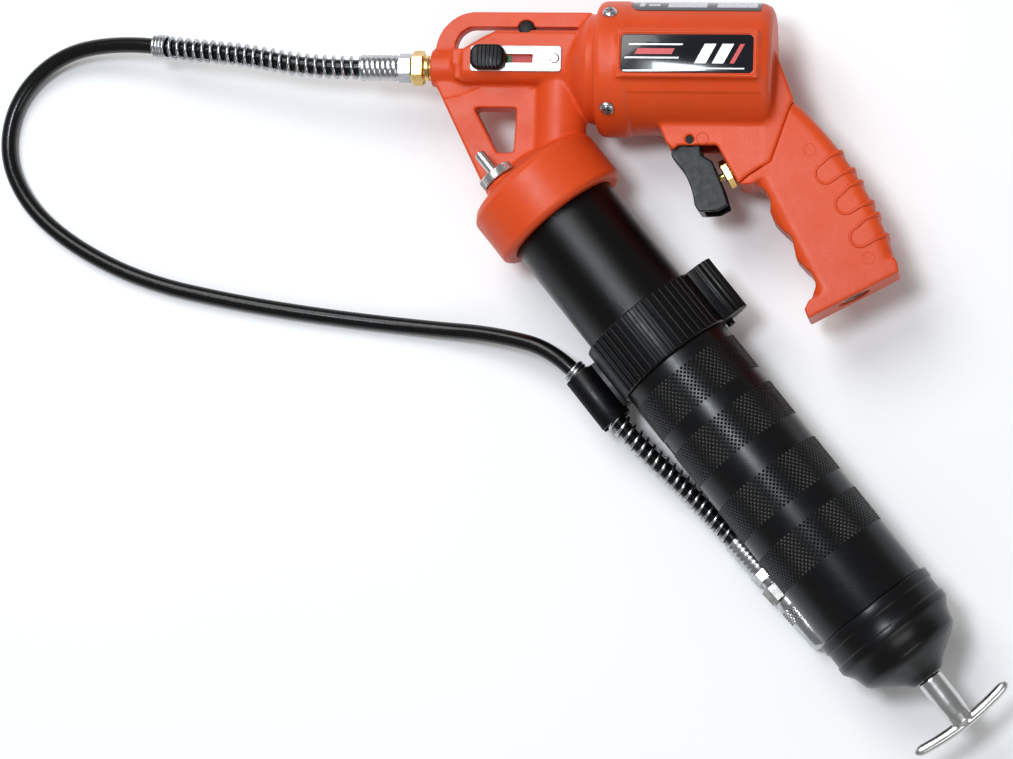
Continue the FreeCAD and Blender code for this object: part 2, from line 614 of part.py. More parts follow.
def make_motor_parts():
    """Screws, labels, gasket and liner of the air motor."""
    heads = flange_screws("screw_head", "screw_head", "flange_radius - 0.6", "2.2")
    shanks = flange_screws("screw_shank", "screw_shank - 0.1", "spigot_radius - 4.5", "3.9 + flange_radius - spigot_radius")
    screws = [fuse(f"screw_{index}", head, shank) for index, (head, shank) in enumerate(zip(heads, shanks))]
    group = doc.addObject("Part::Compound", "flange_screws")
    group.Links = screws
    node(group, "flange_screws", "pump")
    node(in_frame("side_label", box("side_label_body", ("pad_front + label_edge + 0.1", "pad_length - 2 * label_edge - 0.2"),
             ("pad_low + label_edge + 0.1", "pad_width - 2 * label_edge - 0.2"),
             ("pad_face - label_depth", "label_depth + 0.4"))), "side_label", "pump")
    top = cut("top_label",
        ring("top_label_ring", "housing_radius", "housing_radius + 0.4", "pad_front + 5", "housing_back - 6"),
        box("top_label_cut_low", ("80", "100"), ("-60", "83"), ("-50", "100")),
        box("top_label_cut_far", ("80", "100"), ("0", "60"), ("-60", "42")))
    node(top, "top_label", "pump")
    node(ring("motor_gasket", "24", "spigot_radius", "spigot_back", "spigot_back + 1.5"), "motor_gasket", "pump")
    node(ring("motor_liner", "cylinder_radius - liner_wall", "cylinder_radius", "spigot_back + 1.5",
              "cylinder_back"), "motor_liner", "pump")


def make_piston():
    """Air piston and pump plunger in one piece, its seal, and the spring that returns them."""
    bore = "cylinder_radius - liner_wall"
    back = "piston_front + piston_thick"
    seal_front = "piston_front + 4"
    node(turned_body("air_piston", [
        ("sleeve_back - 24", "0"), ("sleeve_back - 24", "plunger_radius"), ("piston_front", "plunger_radius"),
        ("piston_front", f"{bore} - 0.3"), (seal_front, f"{bore} - 0.3"), (seal_front, f"{bore} - 3"),
        (f"{seal_front} + 3", f"{bore} - 3"), (f"{seal_front} + 3", f"{bore} - 0.3"), (back, f"{bore} - 0.3"),
        (back, "0")]), "air_piston", "pump")
    node(ring("piston_seal", f"{bore} - 3", f"{bore} - fit_gap", seal_front, f"{seal_front} + 3"),
         "piston_seal", "pump")
    node(ring("return_spring", "13", "16", "spigot_back", "piston_front"), "return_spring", "pump")


# ---------------------------------------------------------------- handle, trigger and air valve

def make_grip():
    """The handle: finger waves in front, a swelling back with ribs, and a flared end."""
    core = padded("handle_core", [
        ("-112", "12.1", "-58", "27.5"), ("-112", "-24.4"), ("-73.8", "-24.4"),
        ("-70", "-17.5"), ("-64", "-14.2", "-67", "-15"), ("-56", "-16.8", "-60", "-14.3"),
        ("-50", "-17.5"), ("-43", "-15.2"), ("-35", "-14.4", "-39", "-13.6"),
        ("-28.5", "-16.2"), ("-22", "-14.2"), ("-12", "-14.3", "-17", "-12.8"), ("-4", "-14.3"), ("-4", "25.2")],
        half="frame_half")
    rounded(core, "back_round", lambda edge: edge.Length > 105 and edge.BoundBox.YLength > 10)
    flange = padded("handle_flange", [
        ("-12", "-14.3"), ("-5", "0.6 - grip_base"), ("0", "-grip_base"), ("0", "grip_base"),
        ("-5", "grip_base + 1.6"), ("-8", "25.3"), ("-8", "18"), ("-12", "-8")], half="frame_half")
    seam = padded("seam", [
        *reversed(SEAM), ("-73.8", "-40"), ("-150", "-40"), ("-150", "40"), ("-98.5", "40")],
        half="frame_half + 5")
    front_rounds = []
    for side, low in (("near", "frame_half - front_round"), ("far", "-frame_half - 2")):
        corner = box(f"front_corner_{side}", ("-71", "63"), ("-30", "30 - 17.5 + front_round"),
                     (low, "front_round + 2"))
        centre = "frame_half - front_round" if side == "near" else "front_round - frame_half"
        barrel = cylinder(f"front_round_{side}", "front_round", "63", ("-71", "front_round - 17.5", centre))
        front_rounds.append(cut(f"front_cutter_{side}", corner, barrel))
    inlet = cylinder("inlet_seat", "inlet_radius + inlet_wall", "inlet_depth + inlet_sink + 3",
                     ("-inlet_depth - inlet_sink - 2", "0", "0"))
    passage = cylinder("grip_passage", "3.5", "70", ("-82", "2", "0"))
    handle = fuse("handle", core, flange)
    node(cut("grip", handle, seam, inlet, passage, *front_rounds), "grip", "grip")
    node(ring("inlet_bushing", "inlet_radius", "inlet_radius + inlet_wall", "-inlet_depth - inlet_sink",
              "-inlet_sink"), "inlet_bushing", "grip")
    node(ring("inlet_strainer", "3", "inlet_radius + inlet_wall", "-inlet_depth - inlet_sink - 2",
              "-inlet_depth - inlet_sink"), "inlet_strainer", "grip")


def make_trigger():
    """A moulded trigger, hollow at the back, with a rib that pushes the valve stem."""
    outside = padded("trigger_outside", [
        ("115.9", "-41"), ("115.9", "-44.3"), ("121.5", "-51"), ("127.9", "-68.2", "125.6", "-59"),
        ("130.3", "-71.5"), ("139.2", "-71"), ("144.6", "-68"), ("142", "-60"), ("136", "-46.6"),
        ("130.6", "-43.5"), ("129.5", "-35"), ("127", "-32.8"), ("121.5", "-33.5"), ("117.5", "-38")],
        half="trigger_half")
    inside = padded("trigger_inside", [
        ("124.5", "-43.5"), ("128.5", "-50"), ("131.8", "-66"), ("134", "-80"), ("160", "-80"), ("160", "-41"),
        ("131", "-41")], half="trigger_half - trigger_wall")
    rib = padded("trigger_rib", [
        ("121.5", "-47"), ("123.8", "-53"), ("128", "-58"), ("137.1", "-56.7"), ("136.1", "-52.7"),
        ("128", "-49")], half="2")
    hole = cylinder("trigger_pin_hole", "pin_radius + fit_gap", "60", ("pin_x", "pin_y", "-30"), along="z")
    shell = cut("trigger_shell", outside, inside)
    stem_end = "(stem_reach + 0.3)"
    stem_room = aimed("stem_room", "3", "20",
                      (f"valve_x - {stem_end} * cos(valve_turn)", f"valve_y - {stem_end} * sin(valve_turn)", "0"),
                      "valve_turn")
    ribbed = fuse("trigger_ribbed", shell, rib)
    node(cut("trigger", ribbed, hole, stem_room), "trigger", "pump")
    pin = cylinder("pin_body", "pin_radius", "2 * frame_half - 1", ("pin_x", "pin_y", "0.5 - frame_half"),
                   along="z")
    node(in_frame("trigger_pin", pin), "trigger_pin", "pump")


def make_valve():
    """The air valve: brass body with a hex face, sliding stem, and its spring."""
    body = fuse("valve_solid",
        prism("valve_hex", "valve_hex", "valve_hex_thick", ("-valve_hex_thick", "0", "0")),
        cylinder("valve_barrel", "valve_radius", "valve_length", ("0", "0", "0")))
    bore = cylinder("stem_bore", "stem_radius + fit_gap", "60", ("-20", "0", "0"))
    chamber = cylinder("valve_chamber", "3.6", "30", ("5", "0", "0"))
    node(cut("valve_body", body, bore, chamber), "valve_body", "valve")
    node(turned_body("valve_stem", [
        ("-stem_reach", "0"), ("-stem_reach", "stem_radius - 0.5"), ("0.5 - stem_reach", "stem_radius"),
        ("5.4", "stem_radius"), ("5.4", "3.2"), ("7.4", "3.2"), ("7.4", "1.2"), ("12", "1.2"), ("12", "0")]),
        "valve_stem", "valve")
    node(ring("valve_spring", "1.8", "3", "7.4", "valve_length"), "valve_spring", "valve")


# ---------------------------------------------------------------- barrel

def make_barrel():
    """Powder-coated tube, grip sleeve over its lower half, and the pressed end cap."""
    inner = "tube_radius - tube_wall"
    node(ring("barrel_tube", inner, "tube_radius", "collar_floor + gasket_thick", "tube_end"),
         "barrel_tube", "barrel")
    node(ring("grip_sleeve", "tube_radius", "jacket_radius", "jacket_front", "jacket_end"),
         "grip_sleeve", "barrel")
    node(turned_body("end_cap", [
        ("jacket_end", "tube_radius"), ("jacket_end", "cap_radius"), ("jacket_end + 5", "cap_radius"),
        ("jacket_end + 6", "cap_radius - 0.7"), ("cap_step - 5", "cap_radius - 0.7"),
        ("cap_step - 4", "cap_radius"), ("cap_step", "cap_radius"), ("cap_step + 4", "cap_radius - 3.2"),
        ("cap_step + 10.5", "cap_radius - 5"), ("cap_step + 14", "cap_radius - 8.6"),
        ("cap_nose - 4.5", "12.5"), ("cap_nose - 1.3", "9.3"), ("cap_nose", "7.5"),
        ("cap_nose", "rod_radius + fit_gap"), ("cap_nose - 3", "rod_radius + fit_gap"),
        ("cap_nose - 6", "12.5 - cap_wall"), ("cap_step + 13", "cap_radius - 8.6 - cap_wall"),
        ("cap_step + 9", "cap_radius - 5 - cap_wall"), ("tube_end", "tube_radius - 3"),
        ("tube_end", "tube_radius")]), "end_cap", "barrel")


def make_follower():
    """Rod, die-cast handle and follower cup, which slide together, and the spring behind the cup."""
    rod = cylinder("rod", "rod_radius", "cap_nose - cup_front - 2 + 4", ("cup_front + 2", "0", "0"))
    neck = cylinder("neck", "neck_radius", "handle_x - cap_nose - 0.3", ("cap_nose + 0.3", "0", "0"))
    bar = padded("bar", [
        ("handle_x - handle_bow - handle_bar", "handle_half - 1", "handle_x - handle_bar", "0"),
        ("handle_x - handle_bow + handle_bar", "handle_half - 1", "handle_x - handle_bow", "handle_half + 1.5"),
        ("handle_x - handle_bow + handle_bar", "-handle_half + 1", "handle_x + handle_bar", "0"),
        ("handle_x - handle_bow - handle_bar", "-handle_half + 1", "handle_x - handle_bow",
         "-handle_half - 1.5")], half="handle_bar")
    node(fuse("follower_handle", rod, neck, bar), "follower_handle", "barrel")
    outer = "tube_radius - tube_wall - cup_gap"
    node(turned_body("follower_cup", [
        ("cup_front", "rod_radius"), ("cup_front", "8"), ("cup_front + 3", f"{outer} - 3"),
        ("cup_front", outer), ("cup_front + cup_length", outer), ("cup_front + cup_length", f"{outer} - 2"),
        ("cup_front + 6", f"{outer} - 4.5"), ("cup_front + 6", "rod_radius")]), "follower_cup", "barrel")
    node(ring("follower_spring", "17", "20", "cup_front + 6", "cap_step + 7"), "follower_spring", "barrel")


def make_holder():
    """Moulded ring on the tube with clamping lugs on one side and the hose clip on the other."""
    band = ring("holder_band", "0", "holder_radius", "holder_front", "holder_front + holder_length")
    lugs = box("holder_lugs", ("holder_front", "holder_length"), ("20", "arm_reach - 20"),
               ("-arm_half", "2 * arm_half"))
    ribs = []
    for index in range(4):
        rib = cylinder(f"lug_rib_{index}", "1.1", "holder_length",
                       ("holder_front", "arm_reach", f"{index * 4 - 6}"))
        ribs.append(rib)
    clip = cylinder("clip_outside", "clip_radius", "holder_length", ("clip_front", "clip_side", "clip_drop"))
    bridge = box("clip_bridge", ("clip_front", "holder_front + holder_length - clip_front"),
                 ("clip_side + 5", "-clip_side - 25"),
                 ("clip_drop - 4", "8"))
    solid = fuse("holder_solid", band, lugs, *ribs, clip, bridge)
    bore = cylinder("holder_bore", "tube_radius", "holder_length + 2", ("holder_front - 1", "0", "0"))
    hose_bore = cylinder("clip_bore", "clip_radius - clip_wall", "holder_length + 2",
                         ("clip_front - 1", "clip_side", "clip_drop"))
    mouth = box("clip_mouth", ("clip_front - 1", "holder_length + 2"), ("clip_side - 20", "20 - 3"),
                ("clip_drop - 4.6", "9.2"))
    gap = box("lug_gap", ("holder_front - 1", "holder_length + 2"), ("20", "40"), ("-0.6", "1.2"))
    pin = cylinder("lug_pin_hole", "2", "holder_length + 2", ("holder_front - 1", "pin_side", "pin_drop"))
    node(cut("hose_holder", solid, bore, hose_bore, mouth, gap, pin), "hose_holder", "barrel")
    pin = cylinder("lug_pin", "2", "holder_length + 2.5", ("holder_front", "pin_side", "pin_drop"))
    node(in_frame("holder_pin", pin), "holder_pin", "barrel")


# ---------------------------------------------------------------- hose

# Corner points of the hose's path: the frame, x and y in it, and the height above the floor.
ROUTE = [
    ("pump", -41.4, 0, 35.5),
    ("pump", -66, 0, 35.5),
    ("pump", -100, 6.5, 33),
    ("pump", -130, 10, 28),
    ("pump", -171, 15.5, 18.5),
    ("pump", -204, 11, 9),
    ("pump", -227, -10.5, 4.5),
    ("pump", -232.2, -40, 4),
    ("pump", -219, -67, 4),
    ("pump", -193, -88, 4),
    ("pump", -156, -105, 4),
    ("pump", -110, -114.5, 4),
    ("pump", -60, -121.5, 4),
    ("pump", -8, -126.5, 5),
    ("pump", 28, -129.5, 12.5),
    ("barrel", 146, -41.8, 21.5),
    ("barrel", 200, -41.2, 21),
    ("barrel", 247.2, -33.9, 8),
    ("barrel", 271.12, -32.47, 8),
]
OUTLET_GUARD_END = 3
COUPLER_GUARD_START = 15


def route_points():
    """The corner points in the gun's own frame."""
    points = []
    for frame, along, side, height in ROUTE:
        turn = math.radians(size(FRAMES[frame][3]))
        x = size("cross_x") + along * math.cos(turn) - side * math.sin(turn)
        y = size("cross_y") + along * math.sin(turn) + side * math.cos(turn)
        points.append(Vector(x, y, height))
    return points


def corner_arc(before, corner, after):
    """The largest arc that the two runs at a corner allow, and its radius."""
    into = corner - before
    out = after - corner
    turn = into.getAngle(out)
    reach = 0.45 * min(into.Length, out.Length)
    into.normalize()
    out.normalize()
    radius = reach / math.tan(turn / 2)
    to_middle = (out - into).normalize()
    middle = corner + to_middle * (radius / math.cos(turn / 2) - radius)
    return Part.Arc(corner - into * reach, middle, corner + out * reach), radius


def path_edges(points, first=0, last=None, start=None, stop=None):
    """Straight runs joined by arcs. A stretch may start or stop at the middle of a run."""
    arcs = {}
    for index in range(1, len(points) - 1):
        arcs[index], radius = corner_arc(*points[index - 1:index + 2])
    edges = []
    here = start or points[0]
    for index in range(first + 1, (last or len(points) - 2) + 1):
        arc = arcs[index]
        edges.append(Part.LineSegment(here, arc.StartPoint).toShape())
        edges.append(arc.toShape())
        here = arc.EndPoint
    edges.append(Part.LineSegment(here, stop or points[-1]).toShape())
    return edges


def swept(edges, radius):
    """A round bar along a path."""
    wire = Part.Wire(edges)
    first = edges[0]
    direction = first.tangentAt(first.FirstParameter)
    circle = Part.Wire(Part.makeCircle(radius, first.valueAt(first.FirstParameter), direction))
    return wire.makePipeShell([circle], True, False), wire.Length


def feature(label, shape):
    item = doc.addObject("Part::Feature", label)
    item.Shape = shape
    item.Label = label
    item.Placement = Placement()
    NODES.append(item)


def make_hose():
    """Rubber hose, with a spring guard over each end."""
    points = route_points()
    for index in range(1, len(points) - 1):
        arc, radius = corner_arc(*points[index - 1:index + 2])
        print(f"hose corner {index}: radius {radius:.0f} mm")
    hose, length = swept(path_edges(points), size("hose_radius"))
    section = math.pi * size("hose_radius") ** 2
    print(f"hose length {length:.1f} mm, volume {hose.Volume:.0f} of {section * length:.0f} mm3")
    feature("hose", hose)
    middle = (points[OUTLET_GUARD_END] + points[OUTLET_GUARD_END + 1]) * 0.5
    upper = path_edges(points, last=OUTLET_GUARD_END, stop=middle)
    clip = points[COUPLER_GUARD_START]
    along = points[COUPLER_GUARD_START + 1] - clip
    lower = path_edges(points, first=COUPLER_GUARD_START, start=clip + along * 0.25)
    for label, edges in (("outlet_guard", upper), ("coupler_guard", lower)):
        outer, length = swept(edges, size("guard_radius"))
        inner, length = swept(edges, size("guard_bore"))
        feature(label, outer.cut(inner))
        print(f"{label} length {length:.1f} mm")


def make_hose_ends():
    """Crimped ferrules, and the coupler that grips a grease fitting."""
    ferrule = fuse("outlet_ferrule_solid",
        turned_body("outlet_ferrule_shell", [
            ("ferrule_front", "0"), ("ferrule_front", "ferrule_radius"),
            ("ferrule_hex_front", "ferrule_radius"), ("ferrule_hex_front", "0")]),
        prism("outlet_ferrule_hex", "ferrule_hex_radius", "outlet_hex_front - ferrule_hex_front",
              ("ferrule_hex_front", "0", "0")))
    node(cut("outlet_ferrule", ferrule, cylinder("outlet_ferrule_bore", "outlet_bore", "60",
                                                 ("ferrule_front - 1", "0", "0"))), "outlet_ferrule", "pump")
    tail = fuse("coupler_ferrule_solid",
        ring("coupler_ferrule_shell", "outlet_bore", "ferrule_radius", "coupler_front", "coupler_nut"),
        prism("coupler_ferrule_hex", "coupler_radius", "6", ("coupler_nut", "0", "0")),
        cylinder("coupler_ferrule_neck", "4.9", "9", ("coupler_nut + 6", "0", "0")))
    node(cut("coupler_ferrule", tail, cylinder("coupler_ferrule_bore", "outlet_bore", "60",
                                               ("coupler_front - 1", "0", "0"))), "coupler_ferrule", "coupler")
    body = fuse("coupler_body_solid",
        prism("coupler_hex", "coupler_radius + 0.5", "9", ("coupler_nut + 9", "0", "0")),
        cylinder("coupler_neck", "coupler_radius - 0.6", "12", ("coupler_nut + 18", "0", "0")))
    node(cut("coupler_body", body,
             cylinder("coupler_thread", "4.9", "6", ("coupler_nut + 9", "0", "0")),
             cylinder("coupler_bore", "outlet_bore", "60", ("coupler_nut - 10", "0", "0"))),
         "coupler_body", "coupler")
    node(turned_body("coupler_sleeve", [
        ("coupler_nut + 21", "coupler_radius - 0.6"), ("coupler_nut + 21", "coupler_radius + 0.3"),
        ("coupler_nut + 31", "coupler_radius + 0.3"), ("coupler_nut + 31.5", "coupler_radius"),
        ("coupler_nut + 46", "coupler_radius"), ("coupler_nut + 48", "coupler_radius - 2"),
        ("coupler_nut + 48", "3.4"), ("coupler_nut + 36", "3.4"), ("coupler_nut + 36", "5"),
        ("coupler_nut + 30", "5"), ("coupler_nut + 30", "coupler_radius - 0.6")]),
        "coupler_sleeve", "coupler")
    node(ring("coupler_jaws", "2.5", "5", "coupler_nut + 30", "coupler_nut + 36"), "coupler_jaws", "coupler")


# ---------------------------------------------------------------- build, check and write

def write_parts():
    doc.recompute()
    faults = []
    for item in doc.Objects:
        if "Invalid" in item.State or "Error" in item.State:
            faults.append(f"{item.Name}: {item.State}")
    for item in NODES:
        if item.Shape.isNull() or not item.Shape.isValid():
            faults.append(f"{item.Label}: shape is null or not valid")
    if faults:
        raise RuntimeError("; ".join(faults))
    os.makedirs("parts", exist_ok=True)
    for item in NODES:
        item.Shape.exportStep(f"parts/{item.Label}.step")
        print(f"{item.Label}: {len(item.Shape.Solids)} solids, {item.Shape.Volume:.0f} mm3")


make_head()
make_head_fittings()
make_motor_housing()
make_motor_parts()
make_piston()
make_grip()
make_trigger()
make_valve()
make_barrel()
make_follower()
make_holder()
make_hose()
make_hose_ends()
write_parts()
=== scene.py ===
import math

import bmesh
import bpy
import numpy as np
from mathutils import Matrix, Vector


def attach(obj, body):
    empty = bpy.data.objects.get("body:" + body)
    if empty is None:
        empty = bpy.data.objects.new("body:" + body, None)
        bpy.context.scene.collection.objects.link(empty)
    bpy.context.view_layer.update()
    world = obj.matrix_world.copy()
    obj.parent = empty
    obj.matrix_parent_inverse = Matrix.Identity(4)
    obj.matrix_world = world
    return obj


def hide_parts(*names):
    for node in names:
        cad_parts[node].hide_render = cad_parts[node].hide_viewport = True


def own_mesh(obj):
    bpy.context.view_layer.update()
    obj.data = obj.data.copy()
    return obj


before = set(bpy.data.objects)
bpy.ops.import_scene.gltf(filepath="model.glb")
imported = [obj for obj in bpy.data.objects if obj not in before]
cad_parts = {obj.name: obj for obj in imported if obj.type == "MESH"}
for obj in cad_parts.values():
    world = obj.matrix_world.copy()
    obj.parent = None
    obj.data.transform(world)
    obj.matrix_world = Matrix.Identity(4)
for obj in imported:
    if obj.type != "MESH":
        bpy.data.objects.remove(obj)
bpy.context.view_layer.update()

# ---------------------------------------------------------------- table, lamps and camera
# The gun lies on its side on a pale table under soft lamps. A long lens looks down at it
# from about 1.6 m, ten degrees off the vertical towards the handle's end.

MM = 0.001
CROSSING = Vector((-134.8, 149.2, 35.5)) * MM


def link(name, data):
    """A new object at the origin."""
    item = bpy.data.objects.new(name, data)
    bpy.context.scene.collection.objects.link(item)
    return item


def finish(name, colour, roughness, metallic=0.0, coat=0.0, specular=0.5):
    """A finish whose even values sit on the shader's own sockets."""
    made = bpy.data.materials.new(name)
    made.use_nodes = True
    shader = made.node_tree.nodes["Principled BSDF"]
    shader.inputs["Base Color"].default_value = (*colour, 1)
    shader.inputs["Roughness"].default_value = roughness
    shader.inputs["Metallic"].default_value = metallic
    shader.inputs["Coat Weight"].default_value = coat
    shader.inputs["Specular IOR Level"].default_value = specular
    return made


def grain(made, scale, detail=2.0, stretch=(1, 1, 1)):
    """Noise on Object coordinates, drawn out along an axis that is stretched."""
    nodes = made.node_tree.nodes
    where = nodes.new("ShaderNodeTexCoord")
    mapping = nodes.new("ShaderNodeMapping")
    mapping.vector_type = "TEXTURE"
    mapping.inputs["Scale"].default_value = stretch
    texture = nodes.new("ShaderNodeTexNoise")
    texture.inputs["Scale"].default_value = scale
    texture.inputs["Detail"].default_value = detail
    made.node_tree.links.new(where.outputs["Object"], mapping.inputs["Vector"])
    made.node_tree.links.new(mapping.outputs["Vector"], texture.inputs["Vector"])
    return texture.outputs["Fac"]


def mottled(made, dark, light, *pattern, start=0.3, socket="Base Color"):
    """A shader socket that wanders between two colours with a grain, which is given back."""
    source = grain(made, *pattern)
    ramp = made.node_tree.nodes.new("ShaderNodeValToRGB")
    for stop, place, colour in zip(ramp.color_ramp.elements, (start, 0.7), (dark, light)):
        stop.position = place
        stop.color = (*colour, 1)
    made.node_tree.links.new(source, ramp.inputs["Fac"])
    made.node_tree.links.new(ramp.outputs["Color"], made.node_tree.nodes["Principled BSDF"].inputs[socket])
    return source


table_mesh = bpy.data.meshes.new("table_top")
table_mesh.from_pydata([(-4, -4, 0), (4, -4, 0), (4, 4, 0), (-4, 4, 0)], [], [(0, 1, 2, 3)])
table = link("table_top", table_mesh)
table_paint = finish("table_paint", (0.9, 0.9, 0.9), 0.8, specular=0.2)
mottled(table_paint, (0.89, 0.89, 0.89), (0.91, 0.91, 0.91), 3)
table_mesh.materials.append(table_paint)

look_at = CROSSING + Vector((37.3, -154.3, 0)) * MM
LEAN = math.radians(10.1)
LEAN_SIDE = math.radians(-33)
CAMERA_ROLL = 0.0353
CAMERA_DISTANCE = 1.617
away = Vector((math.sin(LEAN) * math.cos(LEAN_SIDE), math.sin(LEAN) * math.sin(LEAN_SIDE), math.cos(LEAN)))
right = Vector((-math.sin(CAMERA_ROLL), math.cos(CAMERA_ROLL), 0)).cross(away).normalized()
camera_data = bpy.data.cameras.new("camera")
camera_data.sensor_width = 36
camera_data.lens = 117.3
camera_data.clip_end = 20
camera = link("camera", camera_data)
camera_axes = Matrix((right, away.cross(right), away)).transposed().to_4x4()
camera.matrix_world = Matrix.Translation(look_at + away * CAMERA_DISTANCE) @ camera_axes
bpy.context.scene.camera = camera

world = bpy.data.worlds.new("studio")
world.use_nodes = True
world.node_tree.nodes["Background"].inputs["Color"].default_value = (1, 1, 1, 1)
world.node_tree.nodes["Background"].inputs["Strength"].default_value = 0.26
bpy.context.scene.world = world
bpy.context.scene.view_settings.view_transform = "Standard"


def lamp(name, place, width, height, power, colour=(1, 1, 1)):
    """A soft rectangular lamp aimed at the middle of the gun."""
    data = bpy.data.lights.new(name, "AREA")
    data.shape = "RECTANGLE"
    data.size = width
    data.size_y = height
    data.energy = power
    data.color = colour
    item = link(name, data)
    aim = (look_at - Vector(place)).to_track_quat("-Z", "Y")
    item.matrix_world = Matrix.Translation(place) @ aim.to_matrix().to_4x4()


lamp("top", (-0.39, 0.18, 1.96), 0.4, 0.4, 19, (0.86, 0.93, 1.0))
lamp("key", (-0.75, 0.95, 1.5), 1.0, 1.0, 18)
lamp("low_fill", (1.1, -1.0, 1.1), 1.0, 0.7, 6)

# ---------------------------------------------------------------- hose
# The whip hose is black rubber over steel braid, 8 mm outside, with a glossy cover.
# It is crimped into a ferrule at each end and lies in one loose bend on the table.


def local_frame(turn, along, side, height=0.0):
    """Millimetres in a frame of the gun's middle plane, taken to metres in the gun's own frame."""
    place = CROSSING + Vector((along, side, height)) * MM
    return Matrix.Translation(place) @ Matrix.Rotation(math.radians(turn), 4, "Z") @ Matrix.Scale(MM, 4)


PUMP = local_frame(0, 0, 0)
BARREL = local_frame(-50, 0, 0)

hose_route = [PUMP @ Vector(spot) for spot in (
    (-41.4, 0, 0), (-66, 0, 0), (-100, 6.5, -2.5), (-130, 10, -7.5), (-171, 15.5, -17), (-204, 11, -26.5),
    (-227, -10.5, -31), (-232.2, -40, -31.5), (-219, -67, -31.5), (-193, -88, -31.5), (-156, -105, -31.5),
    (-110, -114.5, -31.5), (-60, -121.5, -31.5), (-8, -126.5, -30.5), (28, -129.5, -23))]
hose_route += [BARREL @ Vector(spot) for spot in (
    (146, -41.8, -14), (200, -41.2, -14.5), (247.2, -33.9, -27.5), (271.12, -32.47, -27.5))]


def smooth_line(name, points, radius):
    """One open NURBS spline with these points as its control points."""
    data = bpy.data.curves.new(name, "CURVE")
    data.dimensions = "3D"
    data.resolution_u = 24
    data.bevel_depth = radius
    data.bevel_resolution = 8
    data.use_fill_caps = radius > 0
    spline = data.splines.new("NURBS")
    spline.points.add(len(points) - 1)
    for point, place in zip(spline.points, points):
        point.co = (*place, 1)
    spline.order_u = 3
    spline.use_endpoint_u = True
    return data


def worn(made, low, high, *pattern):
    """A roughness that wanders between two values with a grain, which is given back."""
    return mottled(made, (low, low, low), (high, high, high), *pattern, socket="Roughness")


def relief(made, source, strength, depth, under=None):
    """Fine relief from a pattern, on top of a coarser relief if one is given."""
    bump = made.node_tree.nodes.new("ShaderNodeBump")
    bump.inputs["Strength"].default_value = strength
    bump.inputs["Distance"].default_value = depth
    made.node_tree.links.new(source, bump.inputs["Height"])
    if under:
        made.node_tree.links.new(under, bump.inputs["Normal"])
    made.node_tree.links.new(bump.outputs["Normal"], made.node_tree.nodes["Principled BSDF"].inputs["Normal"])
    return bump.outputs["Normal"]


def stands_for(piece, node, body="gun"):
    """A detailed piece that is shown instead of a plain node, and moves with that node's body."""
    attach(piece, body)
    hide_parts(node)


HOSE_RADIUS = 4 * MM
hose_cover = finish("hose_cover", (0.003, 0.003, 0.0034), 0.22, coat=0.08, specular=0.28)
relief(hose_cover, worn(hose_cover, 0.14, 0.3, 700, 3), 0.12, 0.0002)
hose = link("hose_rubber", smooth_line("hose_rubber", hose_route, HOSE_RADIUS))
hose.data.materials.append(hose_cover)
stands_for(hose, "hose")

# ---------------------------------------------------------------- spring guards
# Each end of the hose runs in a guard wound from bright zinc-plated wire, open coiled so that
# it bends with the hose. Its last coils are wound close and wider, as a cuff.

bright_zinc = finish("bright_zinc", (0.52, 0.54, 0.56), 0.24, metallic=1)
mottled(bright_zinc, (0.44, 0.46, 0.48), (0.6, 0.61, 0.62), 260, 4, start=0.35)
worn(bright_zinc, 0.18, 0.32, 500, 3)


def new_tree(name, inputs):
    """An empty Geometry Nodes tree with named inputs and one geometry output."""
    tree = bpy.data.node_groups.new(name, "GeometryNodeTree")
    tree.interface.new_socket("Piece", in_out="INPUT", socket_type="NodeSocketGeometry")
    for label, kind in inputs:
        tree.interface.new_socket(label, in_out="INPUT", socket_type=kind)
    tree.interface.new_socket("Piece", in_out="OUTPUT", socket_type="NodeSocketGeometry")
    return tree, tree.nodes.new("NodeGroupInput"), tree.nodes.new("NodeGroupOutput")


def wired(tree, kind, inputs=None, operation=None):
    """A node with its inputs linked to sockets or set to values. Its first output is given back."""
    node = tree.nodes.new(kind)
    if operation:
        node.operation = operation
    for slot, value in (inputs or {}).items():
        if isinstance(value, bpy.types.NodeSocket):
            tree.links.new(value, node.inputs[slot])
        else:
            node.inputs[slot].default_value = value
    return node.outputs[0]


def maths(tree, operation, first, second=0.0):
    """The result of a sum on one or two numbers."""
    return wired(tree, "ShaderNodeMath", {0: first, 1: second}, operation)


def vector_maths(tree, operation, first, second):
    """The result of a sum on two vectors, or of a vector scaled by a number."""
    slot = "Scale" if operation == "SCALE" else 1
    return wired(tree, "ShaderNodeVectorMath", {0: first, slot: second}, operation)


def close_tree(tree, shape, given, result, smooth=True):
    """Every tree ends in real geometry with its finish set."""
    shaded = wired(tree, "GeometryNodeSetShadeSmooth", {"Geometry": shape, "Shade Smooth": smooth})
    real = wired(tree, "GeometryNodeRealizeInstances", {0: shaded})
    painted = wired(tree, "GeometryNodeSetMaterial", {0: real, "Material": given.outputs["Finish"]})
    tree.links.new(painted, result.inputs[0])


